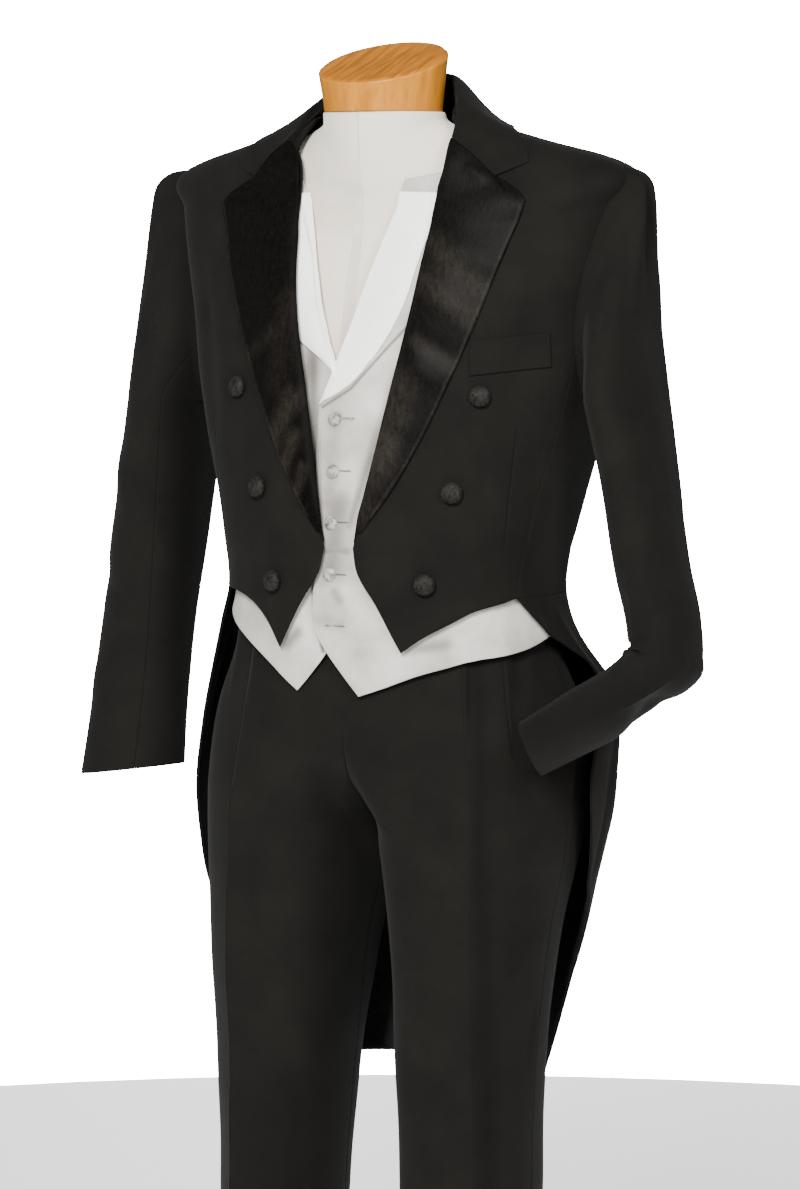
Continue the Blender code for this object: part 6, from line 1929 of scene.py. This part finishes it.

# Colour of the painted shade on the wool
SHADED_WOOL = (0.0009, 0.0008, 0.0007)
# Painted shade on the inner side of the right sleeve and on the left forearm: x0 z0 x1 z1 width depth
SLEEVE_SHADES = {
    LEFT: stroke_rows(".2317 .924 .3301 .9672 .08 .45"),
    RIGHT: stroke_rows("""
        -.228 1.42 -.236 1.216 .056 .6, -.236 1.216 -.244 1.0264 .062 .6,
        -.244 1.0264 -.24 .83 .07 .55
    """),
}
# Painted shade on the trousers: beside the left crease and down the left leg's outer side, between the
# legs, and low on the right leg
LEG_SHADES = {
    LEFT: stroke_rows("""
        .134 .99 .141 .94 .024 .45, .141 .94 .1525 .85 .026 .5, .1525 .85 .1545 .75 .026 .5,
        .1545 .75 .158 .55 .026 .5, .158 .55 .16 .46 .026 .5, .16 .46 .16 .04 .028 .5,
        .185 .75 .18 .04 .05 .35
    """),
    RIGHT: stroke_rows("-.028 .86 -.042 .04 .06 .6, -.088 .52 -.09 .04 .14 .42"),
}
# Painted shade along the top of each leg's pressed crease and the left leg's second pleat, with a dent
# bumped in
PRESSED_SHADE_LINES = {
    LEFT: stroke_rows(
        ".1215 1 .13 .94 .0045 .6, .13 .94 .1418 .85 .0045 .6, .156 .985 .175 .893 .0045 .6"
    ),
    RIGHT: stroke_rows("-.118 1 -.124 .93 .0045 .6, -.124 .93 -.1272 .83 .0045 .6"),
}


def lapel_edge(side, out, wide, deep):
    """Short strokes down the front along the lapel's outer edge, a little further out."""
    heights = np.linspace(1.130, LAPEL_TIP[1] - 0.004, 7)
    lean = LEAN * ease((heights - LEAN_FROM) / (LEAN_TO - LEAN_FROM))
    x = side * (ROLL.at("edge", heights) + out) + COAT_SHIFT + lean
    spots = np.stack([x, heights], -1).tolist()
    return [(*a, *b, wide, deep) for a, b in zip(spots, spots[1:])]


# Two strokes at the lapel's edge: a painted shadow on the front's wool just outside it, with a dent
# bumped in, and a painted light band on the satin just inside it
LAPEL_SHADOW_OUT, LAPEL_SHADOW_WIDE, LAPEL_SHADOW_DEEP = 0.0012, 0.0055, 0.50
LIT_RIM_IN, LIT_RIM_WIDE, LIT_RIM_GAIN = -0.0016, 0.0050, 0.55
DART = (0.1738, 1.2201, 0.1620, 1.1018, 0.0030, 0.8)
LAPEL_SHINE = {LEFT: 0.042, RIGHT: 0.020}
# Painted shadow round each waistcoat button, how much wider than the button and how dark; the width of
# the painted shade in each slit; how far in the stitches run
BUTTON_SHADOW_WIDER, BUTTON_SHADOW_DEEP, SLIT_WIDE, STITCHED_IN = 0.0050, 0.9, 0.0032, 0.0045
FACING_LIGHT, FACING_DARK = (0.96, 0.95, 0.93), (0.88, 0.86, 0.83)

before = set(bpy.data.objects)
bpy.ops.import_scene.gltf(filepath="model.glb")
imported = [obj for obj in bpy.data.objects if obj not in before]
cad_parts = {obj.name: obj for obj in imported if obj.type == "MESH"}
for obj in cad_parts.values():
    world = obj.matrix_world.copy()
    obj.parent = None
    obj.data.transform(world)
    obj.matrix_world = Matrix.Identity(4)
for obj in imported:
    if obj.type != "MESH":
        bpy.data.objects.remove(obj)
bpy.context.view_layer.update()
looks = bpy.data.collections.new("looks")
bpy.context.scene.collection.children.link(looks)
camera()
for side, label in ((LEFT, "l"), (RIGHT, "r")):
    dart = (side * DART[0], DART[1], side * DART[2], *DART[3:])
    # Painted shadow on the right front: a dark stroke with a small dent just outside the lapel's edge
    lapel_shadow = [] if side == LEFT else lapel_edge(side, LAPEL_SHADOW_OUT, LAPEL_SHADOW_WIDE, LAPEL_SHADOW_DEEP)
    front_wool = woollen(f"wool_front_{label}", [dart, *lapel_shadow])
    wool = woollen(f"wool_{label}", (), SLEEVE_SHADES[side])
    # Painted sheen on the lapel's satin, and a painted light band inside its outer edge
    sheen_bands = [*SATIN_SHEEN_BANDS[side], *lapel_edge(side, LIT_RIM_IN, LIT_RIM_WIDE, LIT_RIM_GAIN)]
    satin = black_satin(f"black_satin_{label}", SATIN_LIGHT, SATIN_DARK, sheen_bands,
                        shine=LAPEL_SHINE[side])
    lining = black_satin(f"lining_satin_{label}", LINING_LIGHT, SATIN_DARK, base=0.8, mottle=1.2,
                         patch=0.028, shine=0.16, rough=0.38)
    trouser_wool = woollen(f"wool_trousers_{label}", PRESSED_SHADE_LINES[side], LEG_SHADES[side])
    if side == LEFT:
        # Painted shadow round each of the waistcoat's buttons
        shades = [(x, z, x + 0.0001, z, VEST_BUTTON_WIDE + BUTTON_SHADOW_WIDER, BUTTON_SHADOW_DEEP)
                  for z, x in VEST_BUTTONS.rows.tolist()]
        # Painted shade in the slit of each buttonhole
        slits = [(a, z, b, z, SLIT_WIDE, 1.0) for z, a, b in BUTTONHOLES]
    else:
        shades, slits = VEST_EDGE_SHADES, []
    white = white_satin(f"white_satin_{label}", WHITE_LIGHT, WHITE_DARK, STITCHED_IN,
                        VEST_SHADES + shades, slits)
    facing = white_satin(f"white_facing_{label}", FACING_LIGHT, FACING_DARK, STITCHED_IN)
    coat_front(side, f"coat_front_{label}", front_wool)
    coat_side(side, f"coat_side_{label}", wool)
    coat_back(side, f"coat_back_{label}", wool)
    coat_tail(side, f"coat_skirt_{label}", wool)
    coat_tail(side, f"coat_tail_lining_{label}", lining, lining=True)
    coat_lapel(side, f"coat_lapel_{label}", satin)
    turns = (SLEEVE_BACK_SEAM - 360, SLEEVE_FRONT_SEAM, SLEEVE_BACK_SEAM)
    sleeve_piece(side, f"coat_topsleeve_{label}", turns[0], turns[1], 11 * S_WIDE + 1, wool)
    under = ["coat_undersleeve_l", "coat_underforearm_l"] if side == LEFT else None
    sleeve_piece(side, f"coat_undersleeve_{label}", turns[1], turns[2], 6 * S_WIDE + 1, wool, under)
    vest_front(side, f"vest_front_{label}", white)
    vest_lapel(side, f"vest_lapel_{label}", facing)
    leg_panel(side, f"trouser_front_{label}", True, trouser_wool)
    leg_panel(side, f"trouser_back_{label}", False, wool)
coat_collar(wool)
breast_welt(wool)
coat_buttons(black_satin("button_satin", BUTTON_LIGHT, SATIN_DARK, base=0.75, mottle=1.3,
                         patch=0.009))
vest_back(white)
vest_buttons(white_satin("button_white", (0.50, 0.475, 0.44), (0.05, 0.047, 0.042), patch=0.008))
vest_buttonholes(white_satin("buttonhole_silk", (0.40, 0.37, 0.33), (0.26, 0.24, 0.21)))
waistband(wool)
form_torso(jersey("cream_jersey"))
form_neck(varnished_wood("pale_wood"))
stand(brushed_steel("brushed_steel"))
studio()
